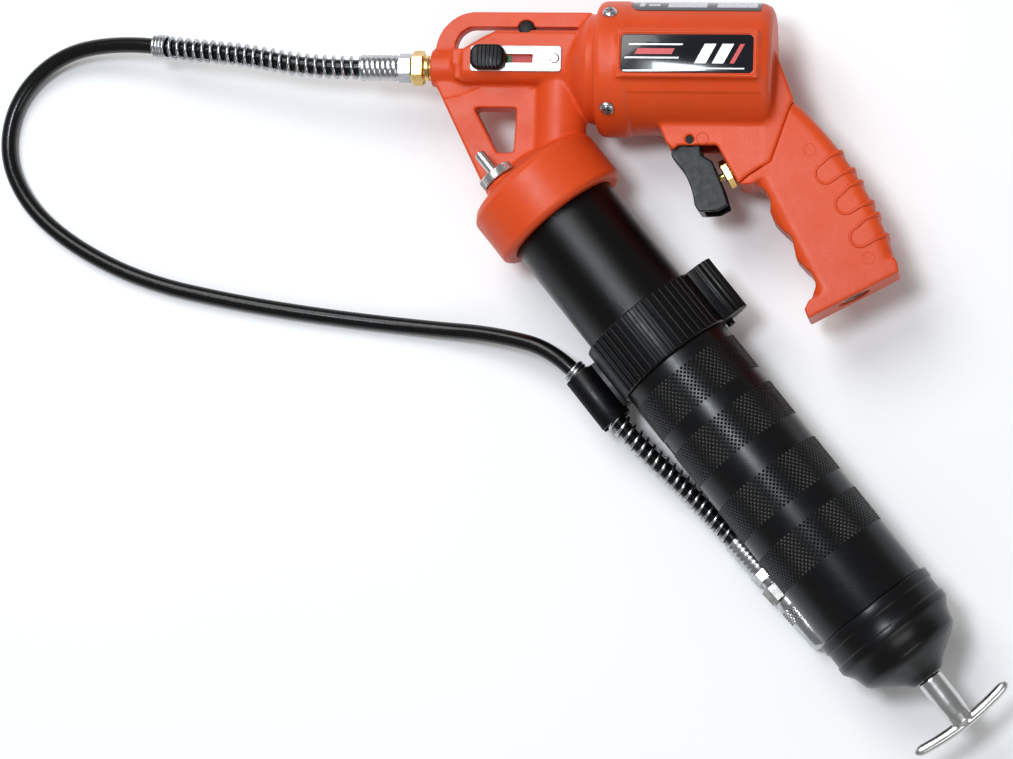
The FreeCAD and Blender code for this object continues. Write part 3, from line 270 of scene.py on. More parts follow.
POINTS_PER_COIL = 24.0
winding_tree, given, result = new_tree("spring_winding", [
    ("Coils", "NodeSocketFloat"), ("Coil Radius", "NodeSocketFloat"), ("Wire Radius", "NodeSocketFloat"),
    ("Finish", "NodeSocketMaterial")])
coils = given.outputs["Coils"]
path = wired(winding_tree, "GeometryNodeMeshToCurve", {0: given.outputs["Piece"]})
even_path = wired(winding_tree, "GeometryNodeResampleCurve", {
    "Curve": path, "Count": maths(winding_tree, "MULTIPLY", coils, POINTS_PER_COIL)})
share = wired(winding_tree, "GeometryNodeSplineParameter")
angle = maths(winding_tree, "MULTIPLY", share, maths(winding_tree, "MULTIPLY", coils, 2 * math.pi))
ahead = wired(winding_tree, "GeometryNodeInputTangent")
outward = wired(winding_tree, "GeometryNodeInputNormal")
sideways = vector_maths(winding_tree, "CROSS_PRODUCT", ahead, outward)
spoke = vector_maths(
    winding_tree, "ADD",
    vector_maths(winding_tree, "SCALE", outward, maths(winding_tree, "COSINE", angle)),
    vector_maths(winding_tree, "SCALE", sideways, maths(winding_tree, "SINE", angle)))
coiled = wired(winding_tree, "GeometryNodeSetPosition", {
    "Geometry": even_path,
    "Offset": vector_maths(winding_tree, "SCALE", spoke, given.outputs["Coil Radius"])})
section = wired(winding_tree, "GeometryNodeCurvePrimitiveCircle", {
    "Resolution": 8, "Radius": given.outputs["Wire Radius"]})
wire = wired(winding_tree, "GeometryNodeCurveToMesh",
             {"Curve": coiled, "Profile Curve": section, "Fill Caps": True})
close_tree(winding_tree, wire, given, result)


def baked(item, place=None):
    """The object's evaluated shape as a plain mesh. The object itself is used up."""
    bpy.context.view_layer.update()
    graph = bpy.context.evaluated_depsgraph_get()
    mesh = bpy.data.meshes.new_from_object(item.evaluated_get(graph), depsgraph=graph)
    bpy.data.objects.remove(item)
    if place:
        mesh.transform(place)
    return mesh


def through_tree(tree, mesh, values, place=None):
    """A mesh put through a Geometry Nodes tree, with the tree's named inputs set."""
    item = link(tree.name, mesh)
    modifier = item.modifiers.new(tree.name, "NODES")
    modifier.node_group = tree
    for socket in tree.interface.items_tree:
        if socket.in_out == "INPUT" and socket.name in values:
            modifier[socket.identifier] = values[socket.name]
    return baked(item, place)


def line_mesh(points):
    """A run of points joined by edges."""
    mesh = bpy.data.meshes.new("line")
    mesh.from_pydata([tuple(point) for point in points], [(n, n + 1) for n in range(len(points) - 1)], [])
    return mesh


def whole(name, meshes):
    """Several meshes as one object, each keeping its finish."""
    finishes = []
    gathered = bmesh.new()
    for mesh in meshes:
        first = len(gathered.faces)
        gathered.from_mesh(mesh)
        gathered.faces.ensure_lookup_table()
        for face in gathered.faces[first:]:
            made = mesh.materials[face.material_index]
            if made not in finishes:
                finishes.append(made)
            face.material_index = finishes.index(made)
    joined = bpy.data.meshes.new(name)
    gathered.to_mesh(joined)
    gathered.free()
    for made in finishes:
        joined.materials.append(made)
    return link(name, joined)


def fitted(name, node, meshes, body="gun"):
    """Several meshes as one detailed piece that stands for a node."""
    piece = whole(name, meshes)
    stands_for(piece, node, body)
    return piece


def stretch_of(points, start, end):
    """The part of a line between two distances from its first point."""
    kept = []
    gone = 0.0
    for before, after in zip(points, points[1:]):
        length = (after - before).length
        for mark in (start, end):
            if gone < mark < gone + length:
                kept.append(before.lerp(after, (mark - gone) / length))
        gone += length
        if start < gone < end:
            kept.append(after)
    return kept


bare_line = link("bare_line", smooth_line("bare_line", hose_route, 0))
hose_line = [vertex.co.copy() for vertex in baked(bare_line).vertices]
hose_run = sum((after - before).length for before, after in zip(hose_line, hose_line[1:]))


GUARD_CUFF = 7 * MM
GUARD_PITCH = 4.6 * MM


def wound(start, end, coils, coil_radius, wire_radius):
    """Zinc-plated wire wound round a stretch of the hose."""
    return through_tree(winding_tree, line_mesh(stretch_of(hose_line, start, end)), {
        "Coils": coils, "Coil Radius": coil_radius, "Wire Radius": wire_radius, "Finish": bright_zinc})


def guard(name, node, start, end, cuff_at_end):
    """An open-wound spring along the hose with a close-wound cuff at one end."""
    open_from, open_to = (start, end - GUARD_CUFF) if cuff_at_end else (start + GUARD_CUFF, end)
    cuff_from, cuff_to = (open_to, end) if cuff_at_end else (start, open_from)
    fitted(name, node, [
        wound(open_from, open_to, coils=(open_to - open_from) / GUARD_PITCH, coil_radius=5.15 * MM,
              wire_radius=0.9 * MM),
        wound(cuff_from, cuff_to, coils=3.9, coil_radius=5.35 * MM, wire_radius=0.92 * MM)])


guard("outlet_guard_wire", "outlet_guard", 0.0005, 0.110, True)
guard("coupler_guard_wire", "coupler_guard", hose_run - 0.1165, hose_run - 0.0005, False)

# ---------------------------------------------------------------- ferrules and outlet adapter
# A zinc-plated steel ferrule with pressed rings is crimped on each end of the hose. A brass
# adapter with a six-sided body screws it to the head.


def eased(profile, size=0.35):
    """A profile whose corners are cut into small arcs, so that turned edges catch the light."""
    points = [Vector(point) for point in profile]
    out = [points[0]]
    for before, corner, after in zip(points, points[1:], points[2:]):
        into = corner - before
        leave = after - corner
        if into.length < 1e-6 or leave.length < 1e-6 or into.angle(leave) < 0.35:
            out.append(corner)
            continue
        reach = min(size, into.length * 0.45, leave.length * 0.45)
        start = corner - into.normalized() * reach
        end = corner + leave.normalized() * reach
        out += [start, (start + end + 2 * corner) / 4, end]
    out.append(points[-1])
    return out


def join_rings(shape, rings):
    """Faces between each ring of points and the next. A ring of one point is a pole."""
    for one, other in zip(rings, rings[1:]):
        sides = max(len(one), len(other))
        for turn in range(sides if sides > 1 else 0):
            after = (turn + 1) % sides
            corners = (one[turn % len(one)], other[turn % len(other)], other[after % len(other)],
                       one[after % len(one)])
            shape.faces.new(tuple(dict.fromkeys(corners)))
    bmesh.ops.recalc_face_normals(shape, faces=shape.faces)


def turned(profile, place, made, sides=96, ease=0.35, closed=False):
    """A shape turned about its x axis from (x, radius) points. A closed profile makes a ring."""
    points = eased(list(profile) + [profile[0]], ease)[:-1] if closed else eased(profile, ease)
    shape = bmesh.new()
    rings = []
    for x, radius in points:
        if radius < 1e-6:
            rings.append([shape.verts.new((x, 0, 0))])
            continue
        rings.append([shape.verts.new((x, radius * math.cos(turn * 2 * math.pi / sides),
                                       radius * math.sin(turn * 2 * math.pi / sides)))
                      for turn in range(sides)])
    join_rings(shape, rings + rings[:1] if closed else rings)
    return finished(shape, place, made)


def finished(shape, place, made, crease=35):
    """A bmesh as a smooth-shaded mesh with sharp edges kept, in place and with its finish."""
    mesh = bpy.data.meshes.new("piece")
    shape.to_mesh(mesh)
    shape.free()
    mesh.transform(place)
    mesh.shade_smooth()
    mesh.set_sharp_from_angle(angle=math.radians(crease))
    mesh.materials.append(made)
    return mesh


def hexagon(radius, front, back, bore, place, made):
    """A six-sided nut about the x axis with its corners turned down at the ends, and a bore."""
    sides = 48
    flat = radius * math.cos(math.pi / 6)
    cut = (radius - flat) * 0.6
    stations = [(front, bore, True), (front, flat - 0.3, False), (front + cut, radius, False),
                (back - cut, radius, False), (back, flat - 0.3, False), (back, bore, True)]
    shape = bmesh.new()
    rings = []
    for x, limit, round_bore in stations:
        ring = []
        for turn in range(sides):
            angle = turn * 2 * math.pi / sides
            to_corner = (angle + math.pi / 6) % (math.pi / 3) - math.pi / 6
            edge = flat / math.cos(math.pi / 6 - abs(to_corner))
            reach = limit if round_bore else min(limit, edge)
            ring.append(shape.verts.new((x, reach * math.cos(angle), reach * math.sin(angle))))
        rings.append(ring)
    join_rings(shape, rings + rings[:1])
    return finished(shape, place, made, 20)


def ringed(front, back, low, high, pitch):
    """The outline of a sleeve with pressed rings along it."""
    count = max(2, round((back - front) / pitch))
    step = (back - front) / count
    points = []
    for index in range(count):
        x = front + index * step
        points += [(x, low), (x + step * 0.2, high), (x + step * 0.75, high)]
    points.append((back, low))
    return points


brass = finish("brass_bar", (0.8, 0.56, 0.2), 0.22, metallic=1)
mottled(brass, (0.66, 0.43, 0.12), (0.86, 0.64, 0.27), 180, 4)
worn(brass, 0.16, 0.32, 420, 3)
relief(brass, grain(brass, 1500, 2, (12, 1, 1)), 0.06, 0.0001)

BORE = 2.2
fitted("crimped_outlet_ferrule", "outlet_ferrule", [
    turned([(-41.4, 4.1), (-41.4, 6.1)] + ringed(-41, -22.6, 6.05, 6.5, 2.6) + [(-22.2, 6), (-22.2, 4.1)],
           PUMP, bright_zinc, ease=0.2, closed=True),
    hexagon(7.3, -22.2, -15.2, BORE, PUMP, bright_zinc)])
fitted("brass_outlet_adapter", "outlet_adapter", [
    hexagon(8.8, -15.2, -8.9, BORE, PUMP, brass),
    turned([(-9.2, BORE), (-9.2, 6.3), (-6.6, 6.3), (-6.4, 5.7), (-5.25, 5.7), (-5.2, 5), (2.8, 5),
            (2.8, BORE)],
           PUMP, brass, closed=True)])
COUPLER = (BARREL @ Matrix.Translation((338, -28.5, -27.5)) @ Matrix.Rotation(math.radians(3.4), 4, "Z")
           @ Matrix.Translation((-338, 0, 0)))
fitted("crimped_coupler_ferrule", "coupler_ferrule", [
    turned([(271, 4.1), (271, 6.1)] + ringed(271.4, 289.6, 6.05, 6.5, 2.6) + [(290, 6), (290, 4.1)],
           COUPLER, bright_zinc, ease=0.2, closed=True),
    hexagon(7, 290, 296, BORE, COUPLER, bright_zinc),
    turned([(296, BORE), (296, 5.2), (297, 4.9), (305, 4.9), (305, BORE)], COUPLER, bright_zinc,
           closed=True)])

# ---------------------------------------------------------------- coupler
# The coupler that snaps onto a grease nipple: a dark steel body with flats, a bright sleeve
# with a knurled band, and hardened jaws inside. It is screwed onto the hose's threaded tail.

repeat_tree, given, result = new_tree("repeat_round_and_along", [
    ("Along", "NodeSocketInt"), ("Spacing", "NodeSocketFloat"), ("Around", "NodeSocketInt"),
    ("Angle", "NodeSocketFloat"), ("Stagger", "NodeSocketFloat"), ("Finish", "NodeSocketMaterial")])
rings_of = given.outputs["Around"]
spots = wired(repeat_tree, "GeometryNodeMeshLine", {
    "Count": maths(repeat_tree, "MULTIPLY", given.outputs["Along"], rings_of), "Offset": (0, 0, 0)})
order = wired(repeat_tree, "GeometryNodeInputIndex")
row = maths(repeat_tree, "FLOOR", maths(repeat_tree, "DIVIDE", order, rings_of))
column = maths(repeat_tree, "SUBTRACT", order, maths(repeat_tree, "MULTIPLY", row, rings_of))
swing = maths(repeat_tree, "ADD", maths(repeat_tree, "MULTIPLY", column, given.outputs["Angle"]),
              maths(repeat_tree, "MULTIPLY", row, given.outputs["Stagger"]))
shift = maths(repeat_tree, "MULTIPLY", row, given.outputs["Spacing"])
copies = wired(repeat_tree, "GeometryNodeInstanceOnPoints",
               {"Points": spots, "Instance": given.outputs["Piece"]})
swung = wired(repeat_tree, "GeometryNodeRotateInstances", {
    "Instances": copies, "Local Space": False,
    "Rotation": wired(repeat_tree, "ShaderNodeCombineXYZ", {0: swing})})
shifted = wired(repeat_tree, "GeometryNodeTranslateInstances", {
    "Instances": swung, "Local Space": False,
    "Translation": wired(repeat_tree, "ShaderNodeCombineXYZ", {0: shift})})
close_tree(repeat_tree, shifted, given, result, smooth=False)


def repeated(mesh, place, made, along=1, spacing=0.0, around=1, angle=0.0, stagger=0.0):
    """Copies of a piece in rows along the x axis and rings about it."""
    return through_tree(repeat_tree, mesh, {
        "Along": along, "Spacing": spacing, "Around": around, "Angle": angle, "Stagger": stagger,
        "Finish": made}, place)


def knurl_tooth(x, radius, length, width, height):
    """One low pyramid on a turned surface, sunk a little into it."""
    mesh = bpy.data.meshes.new("tooth")
    half = length / 2
    side = width / 2
    low = radius - 0.15
    mesh.from_pydata([(x - half, 0, low), (x, -side, low), (x + half, 0, low), (x, side, low),
                      (x, 0, radius + height)],
                     [], [(0, 1, 4), (1, 2, 4), (2, 3, 4), (3, 0, 4), (3, 2, 1, 0)])
    return mesh


def knurled(place, made, front, back, radius, around, rows, height):
    """A diamond knurl on a turned band."""
    pitch = (back - front) / rows
    width = 2 * math.pi * radius / around
    tooth = knurl_tooth(front + pitch / 2, radius, pitch * 1.9, width * 0.95, height)
    return repeated(tooth, place, made, rows, pitch, around, 2 * math.pi / around, math.pi / around)


dark_steel = finish("oiled_steel", (0.26, 0.25, 0.23), 0.3, metallic=1)
mottled(dark_steel, (0.18, 0.175, 0.165), (0.34, 0.33, 0.31), 300, 4)
relief(dark_steel, grain(dark_steel, 1800, 2), 0.08, 0.0001)
fitted("coupler_body_steel", "coupler_body", [
    hexagon(7.5, 299, 308, BORE, COUPLER, dark_steel),
    turned([(308, BORE), (308, 5.9), (309, 6.3), (310.5, 6.4), (320, 6.4), (320, BORE)],
           COUPLER, bright_zinc, closed=True)])
fitted("coupler_sleeve_steel", "coupler_sleeve", [
    turned([(311, 6.4), (311, 6.9), (313, 7), (313.4, 6.8), (321, 6.8), (321.6, 7), (335.6, 7), (338, 5.2),
            (338, 3.4),
            (326, 3.4), (326, 5), (320, 5), (320, 6.4)], COUPLER, bright_zinc, closed=True),
    knurled(COUPLER, bright_zinc, front=313.6, back=321.2, radius=6.8, around=30, rows=6, height=0.4)])


def keep(node, made):
    """A node whose own shape is right keeps it and gets its real finish."""
    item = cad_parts[node]
    if not item.material_slots:
        item.data.materials.append(made)
    for slot in item.material_slots:
        slot.material = made


keep("coupler_jaws", dark_steel)

# ---------------------------------------------------------------- head casting
# The head is one pressure casting with a hanging loop, a selector block, a windowed web and
# the collar that the barrel screws into. It has soft edges and a grained orange powder coat.

orange_coat = finish("orange_coat", (0.64, 0.064, 0.010), 0.4, specular=0.3)
mottled(orange_coat, (0.61, 0.058, 0.008), (0.67, 0.070, 0.012), 14, 3)
worn(orange_coat, 0.34, 0.46, 90, 3)
coat_swell = relief(orange_coat, grain(orange_coat, 260, 2), 0.12, 0.0006)
relief(orange_coat, grain(orange_coat, 1500, 3), 0.34, 0.0003, coat_swell)


def vertex_array(mesh, field):
    """One value of every vertex, such as its place, as rows of three numbers."""
    values = np.empty(len(mesh.vertices) * 3)
    mesh.vertices.foreach_get(field, values)
    return values.reshape(-1, 3)


def soften(mesh, rounds, fillet_rounds):
    """Rounds every edge a little, then fills the inside corners with fillets."""
    spots = vertex_array(mesh, "co")
    ends = np.empty(len(mesh.edges) * 2, dtype=int)
    mesh.edges.foreach_get("vertices", ends)
    one, other = ends.reshape(-1, 2).T
    count = len(spots)
    degree = np.bincount(ends, minlength=count)[:, None]
    for step in range(rounds + fillet_rounds):
        total = np.empty_like(spots)
        for axis in range(3):
            total[:, axis] = (np.bincount(one, weights=spots[other, axis], minlength=count)
                              + np.bincount(other, weights=spots[one, axis], minlength=count))
        pull = total / degree - spots
        if step >= rounds:
            if (step - rounds) % 8 == 0:
                mesh.vertices.foreach_set("co", spots.ravel())
                mesh.update()
                outward = vertex_array(mesh, "normal")
            pull[(pull * outward).sum(axis=1) < 0] = 0
        spots += pull * 0.5
    mesh.vertices.foreach_set("co", spots.ravel())
    mesh.update()


def cast(raw, made, size, rounds, fillet_rounds, keep_share=1.0):
    """A raw shape under one even skin, with the soft edges and fillets that the mould gives."""
    skin = raw.modifiers.new("skin", "REMESH")
    skin.mode = "VOXEL"
    skin.voxel_size = size
    mesh = baked(raw)
    soften(mesh, rounds, fillet_rounds)
    if keep_share < 1:
        thin = link("thinned_casting", mesh)
        thin.modifiers.new("fewer", "DECIMATE").ratio = keep_share
        mesh = baked(thin)
    mesh.shade_smooth()
    mesh.materials.clear()
    mesh.materials.append(made)
    return mesh


def solid_of(node):
    """A merged copy of a node's own solid."""
    solid = bmesh.new()
    solid.from_mesh(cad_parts[node].data)
    bmesh.ops.remove_doubles(solid, verts=solid.verts, dist=1e-6)
    mesh = bpy.data.meshes.new(node)
    solid.to_mesh(mesh)
    solid.free()
    return link("raw_casting", mesh)


fitted("head_cast", "head_casting", [
    cast(solid_of("head_casting"), orange_coat, size=0.62 * MM, rounds=3, fillet_rounds=20, keep_share=0.55)])

# ---------------------------------------------------------------- selector, plug and bleeder
# A ribbed plastic knob slides in a bright plate on the head, over a green and red strip. A
# rubber plug sits in the loop, and a steel bleeder valve with a knurled disc by the collar.


def drawn_out(outline, along, place, made, soft=0.0, segments=3, crease=35, clamp=False):
    """A flat outline drawn out along a vector, with its rims at both ends softened."""
    shape = bmesh.new()
    base = shape.faces.new([shape.verts.new(spot) for spot in outline])
    raised = bmesh.ops.extrude_face_region(shape, geom=[base])
    moved = [item for item in raised["geom"] if isinstance(item, bmesh.types.BMVert)]
    bmesh.ops.translate(shape, verts=moved, vec=along)
    bmesh.ops.recalc_face_normals(shape, faces=shape.faces)
    if soft:
        rims = [edge for edge in shape.edges
                if abs((edge.verts[0].co - edge.verts[1].co).dot(Vector(along))) < 1e-6]
        bmesh.ops.bevel(shape, geom=rims, offset=soft, segments=segments, affect="EDGES", profile=0.5,
                        clamp_overlap=clamp)
    return finished(shape, place, made, crease)


def frame_line(x0, x1, y0, y1, corner, z, steps=5):
    """A rounded rectangle as points."""
    points = []
    for quarter, (x, y) in enumerate(((x1, y1), (x0, y1), (x0, y0), (x1, y0))):
        cx = x - corner if x == x1 else x + corner
        cy = y - corner if y == y1 else y + corner
        for step in range(steps + 1):
            angle = (quarter + step / steps) * math.pi / 2
            points.append((cx + corner * math.cos(angle), cy + corner * math.sin(angle), z))
    return points


def rounded_box(low, high, corner, soft, place, made):
    """A block with rounded upright corners and softened edges."""
    outline = frame_line(low[0], high[0], low[1], high[1], corner, low[2], 6)
    return drawn_out(outline, (0, 0, high[2] - low[2]), place, made, soft)


def carved(mesh, cutters):
    """A mesh with other meshes cut out of it."""
    item = link("blank", mesh)
    tools = []
    for cutter in cutters:
        tool = link("cutter", cutter)
        tools.append(tool)
        cut = item.modifiers.new("cut", "BOOLEAN")
        cut.object = tool
        cut.operation = "DIFFERENCE"
        cut.solver = "EXACT"
    result_mesh = baked(item)
    for tool in tools:
        bpy.data.objects.remove(tool)
    return result_mesh


bright_plate = finish("bright_plate", (0.6, 0.61, 0.63), 0.4, metallic=0.8)
relief(bright_plate, worn(bright_plate, 0.3, 0.45, 900, 3, (14, 1, 1)), 0.05, 0.0001)
strip_green = finish("strip_green", (0.02, 0.16, 0.04), 0.5)
mottled(strip_green, (0.015, 0.13, 0.03), (0.03, 0.2, 0.05), 600)
strip_red = finish("strip_red", (0.45, 0.02, 0.015), 0.5)
mottled(strip_red, (0.4, 0.015, 0.01), (0.52, 0.03, 0.02), 600)
plate_blank = rounded_box((16.1, -4.1, 15), (61.1, 8.5, 16), 1.6, 0.2, PUMP, bright_plate)
plate_slot = rounded_box((19, -0.1, 13), (47.2, 4.5, 18), 0.5, 0, PUMP, bright_plate)
plate = carved(plate_blank, [plate_slot])
plate.shade_smooth()
plate.set_sharp_from_angle(angle=math.radians(30))
fitted("selector_plate_bright", "selector_plate", [
    plate,
    rounded_box((33.6, 0.1, 12.6), (36.2, 4.3, 13.3), 0.3, 0, PUMP, strip_green),
    rounded_box((36.3, 0.1, 12.6), (47, 4.3, 13.3), 0.3, 0, PUMP, strip_red)])

screw_seat = PUMP @ Matrix.Translation((57.7, 2.3, 0)) @ Matrix.Rotation(-math.pi / 2, 4, "Y")
fitted("plate_screw_zinc", "plate_screw", [
    turned([(10, 0), (10, 1.2), (16, 1.2), (16, 2.5), (16.5, 2.5), (16.9, 2.1), (17, 1.35), (16.3, 1.3),
            (16.3, 0.45),
            (16.85, 0.4), (16.85, 0)], screw_seat, bright_zinc, sides=32, ease=0.1)])

black_moulding = finish("black_moulding", (0.0025, 0.0025, 0.003), 0.34, specular=0.22)
worn(black_moulding, 0.27, 0.4, 350, 3)
relief(black_moulding, grain(black_moulding, 1600, 2), 0.15, 0.0002)
knob_rib = rounded_box((19.9, -3.6, 20.4), (20.9, 8.0, 22.3), 0.45, 0.3, Matrix.Identity(4), black_moulding)
knob_ribs = repeated(knob_rib, PUMP, black_moulding, 6, 1.88, 1)
knob_ribs.shade_smooth()
fitted("selector_knob_ribbed", "selector_knob", [
    rounded_box((16.6, -4.0, 16.3), (33.6, 8.4, 21.6), 4.2, 1.6, PUMP, black_moulding),
    knob_ribs,
    rounded_box((19.5, 0.2, 13.6), (29.5, 4.2, 17.5), 0.6, 0.2, PUMP, black_moulding)], "selector")

black_rubber = finish("black_rubber", (0.006, 0.006, 0.006), 0.55, specular=0.3)
worn(black_rubber, 0.5, 0.7, 200, 3)
relief(black_rubber, grain(black_rubber, 1300, 3), 0.2, 0.0002)
plug_seat = PUMP @ Matrix.Translation((41.8, 19.5, 0)) @ Matrix.Rotation(-math.pi / 2, 4, "Y")
fitted("loop_plug_rubber", "loop_plug", [
    turned([(-5.3, 0), (-5.2, 2.4), (-4.6, 4), (4.6, 4), (5.2, 2.4), (5.3, 0)], plug_seat, black_rubber, 48,
           0.6)])

satin_steel = finish("satin_steel", (0.56, 0.56, 0.56), 0.28, metallic=1)
mottled(satin_steel, (0.52, 0.52, 0.52), (0.7, 0.7, 0.7), 240, 4)
relief(satin_steel, grain(satin_steel, 1500, 2), 0.06, 0.0001)
BLEEDER = BARREL @ Matrix.Translation((0, -12, 17.5))
fitted("bleeder_valve_steel", "bleeder_valve", [
    turned([(48.5, 0), (48.5, 1), (49.2, 1), (49.2, 2.2), (49.7, 2.7), (61.3, 2.7), (61.3, 8.4), (61.7, 8.8),
            (65.6, 8.8), (66, 8.4), (66, 3), (74, 2.9), (76, 1), (76, 0)], BLEEDER, satin_steel),
    knurled(BLEEDER, satin_steel, front=61.7, back=65.6, radius=8.75, around=52, rows=4,
            height=0.35)], "bleeder")

# ---------------------------------------------------------------- motor housing
# The air motor's cylinder and the trigger's block are one casting in the same orange coat. It
# has a raised frame for the nameplate, and it is fixed over the head's spigot by four screws.

housing_mesh = cast(solid_of("motor_housing"), orange_coat, size=0.66 * MM, rounds=3, fillet_rounds=24,
                    keep_share=0.6)
spots = vertex_array(housing_mesh, "co")
local = (spots - np.array(CROSSING)) / MM
reach = np.hypot(local[:, 1], local[:, 2])
PANEL_EDGE = -15.9
PANEL_FRONT = 94.5
PANEL_BACK = 161
PANEL_STEP = 0.45
STEP_RUN = 1.2
SHELL_RADIUS = 30.5
below = np.clip((PANEL_EDGE - local[:, 1]) / STEP_RUN, 0, 1)
behind = np.clip((local[:, 0] - PANEL_FRONT) / STEP_RUN, 0, 1)
outside = np.clip((reach - SHELL_RADIUS) / 0.8, 0, 1) * np.clip((PANEL_BACK - local[:, 0]) / 1.5, 0, 1)
sink = PANEL_STEP * below * behind * outside
spots[:, 1] -= sink * local[:, 1] / np.maximum(reach, 1) * MM
spots[:, 2] -= sink * local[:, 2] / np.maximum(reach, 1) * MM
housing_mesh.vertices.foreach_set("co", spots.ravel())
housing_mesh.update()


def bead(points, widths, place, made, closed=True):
    """A round bead laid along a line of points, with its half width at each point."""
    data = bpy.data.curves.new("bead", "CURVE")
    data.dimensions = "3D"
    data.bevel_depth = 1
    data.bevel_resolution = 3
    data.use_fill_caps = not closed
    spline = data.splines.new("POLY")
    spline.points.add(len(points) - 1)
    for point, spot, width in zip(spline.points, points, widths):
        point.co = (*spot, 1)
        point.radius = width
    spline.use_cyclic_u = closed
    mesh = baked(link("bead", data), place)
    mesh.shade_smooth()
    mesh.materials.clear()
    mesh.materials.append(made)
    return mesh


def circle_line(x, y, z, radius):
    """A circle as forty points."""
    return [(x + radius * math.cos(turn * math.pi / 20), y + radius * math.sin(turn * math.pi / 20), z)
            for turn in range(40)]


label_frame = frame_line(91.2, 157.4, -8.9, 12.1, 2.2, 33.3)
ejector_ring = circle_line(131.3, -36.3, 14.45, 2.9)
fitted("motor_housing_cast", "motor_housing", [
    housing_mesh,
    bead(label_frame, [0.85] * len(label_frame), PUMP, orange_coat),
    bead(ejector_ring, [0.2] * 40, PUMP, orange_coat)])


def cross_screw(head_radius, low, high, shank_radius, shank_low):
    """A pan-head screw with a cross recess, standing along z."""
    upright = Matrix.Rotation(-math.pi / 2, 4, "Y")
    blank = turned([(shank_low, 0), (shank_low, shank_radius), (low, shank_radius), (low, head_radius),
                    (low + (high - low) * 0.45, head_radius), (high - 0.15, head_radius * 0.72), (high, 0)],
                   upright, bright_zinc, 40, 0.5)
    arms = []
    for half_x, half_y in ((head_radius * 0.55, head_radius * 0.14),
                           (head_radius * 0.14, head_radius * 0.55)):
        arms.append(rounded_box((-half_x, -half_y, high - 1.3), (half_x, half_y, high + 1), half_y * 0.5, 0,
                                Matrix.Identity(4), bright_zinc))
    return carved(blank, arms)


one_screw = cross_screw(head_radius=3.7, low=32.8, high=35.0, shank_radius=1.9, shank_low=23.4)
one_screw.transform(Matrix.Rotation(math.pi / 4, 4, "X") @ Matrix.Translation((85.3, 0, 0)))
screws = repeated(one_screw, PUMP, bright_zinc, 1, 0, 4, math.pi / 2)
screws.shade_smooth()
screws.set_sharp_from_angle(angle=math.radians(32))
fitted("flange_screws_zinc", "flange_screws", [screws])

# ---------------------------------------------------------------- nameplates
# A domed gloss-black plate sits in the housing's raised frame, with plain silver and red
# bars. A printed film with two plain silver windows is stuck round the cylinder's upper side.

gloss_black = finish("gloss_black_film", (0.004, 0.005, 0.009), 0.12, coat=0.3, specular=0.4)
worn(gloss_black, 0.08, 0.16, 60, 2)
relief(gloss_black, grain(gloss_black, 90, 1), 0.03, 0.0003)
silver_print = finish("silver_print", (0.6, 0.6, 0.63), 0.32, metallic=0.5)
worn(silver_print, 0.24, 0.4, 500)
red_print = finish("red_print", (0.55, 0.015, 0.015), 0.3)
mottled(red_print, (0.5, 0.012, 0.012), (0.6, 0.02, 0.02), 500)


def slanted_bar(x, y, length, height, lean, made):
    """A thin printed bar with slanted ends."""
    low = 34.07
    outline = [(x, y, low), (x + length, y, low), (x + length + lean, y + height, low),
               (x + lean, y + height, low)]
    return drawn_out(outline, (0, 0, 0.08), PUMP, made)


fitted("side_nameplate", "side_label", [
    rounded_box((92.3, -7.8, 33), (156.3, 11, 34.1), 2.2, 0.45, PUMP, gloss_black),
    slanted_bar(96, 5.6, 26, 0.7, 0.4, silver_print),
    slanted_bar(94.2, -0.9, 26, 0.7, 0.4, silver_print),
    slanted_bar(99, 1.2, 18, 2.8, 1.5, red_print),
    slanted_bar(128, -3.2, 5.5, 9.5, 5, silver_print),
    slanted_bar(136.5, -3.2, 5.5, 9.5, 5, silver_print),
    slanted_bar(145, -3.2, 2.2, 9.5, 5, red_print),
    slanted_bar(132, -6, 20, 0.6, 0.3, silver_print)])


def wrapped_panel(x0, x1, from_degrees, to_degrees, low, high, made, corner=0.0):
    """A thin panel wrapped round the pump axis, its angle measured from +Y towards +Z."""
    shape = bmesh.new()
    columns = 24
    rows = 28
    grid = {}
    for layer, radius in enumerate((low, high)):
        for i in range(columns + 1):
            x = x0 + (x1 - x0) * i / columns
            trim = 0.0
            if corner and x - x0 < corner:
                trim = corner - math.sqrt(max(0.0, corner ** 2 - (corner - (x - x0)) ** 2))
            for j in range(rows + 1):
                start = math.radians(from_degrees) + trim / radius
                end = math.radians(to_degrees) - trim / radius
                angle = start + (end - start) * j / rows
                grid[layer, i, j] = shape.verts.new((x, radius * math.cos(angle), radius * math.sin(angle)))
    for i in range(columns):
        for j in range(rows):
            shape.faces.new((grid[1, i, j], grid[1, i + 1, j], grid[1, i + 1, j + 1], grid[1, i, j + 1]))
            shape.faces.new((grid[0, i, j], grid[0, i, j + 1], grid[0, i + 1, j + 1], grid[0, i + 1, j]))
    for i in range(columns):
        for j in (0, rows):
            shape.faces.new((grid[0, i, j], grid[0, i + 1, j], grid[1, i + 1, j], grid[1, i, j]))
    for j in range(rows):
        for i in (0, columns):
            shape.faces.new((grid[0, i, j], grid[1, i, j], grid[1, i, j + 1], grid[0, i, j + 1]))
    bmesh.ops.recalc_face_normals(shape, faces=shape.faces)
    return finished(shape, PUMP, made)


fitted("top_film", "top_label", [
    wrapped_panel(95, 158.5, -40, 40, 32.6, 33.0, gloss_black, 5),
    wrapped_panel(113, 132, -34, 34, 32.9, 33.05, silver_print),
    wrapped_panel(137, 156.5, -34, 34, 32.9, 33.05, silver_print),
    wrapped_panel(99, 101.5, 14, 32, 32.9, 33.05, silver_print),
    wrapped_panel(103.5, 109, 26, 31, 32.9, 33.05, silver_print)])

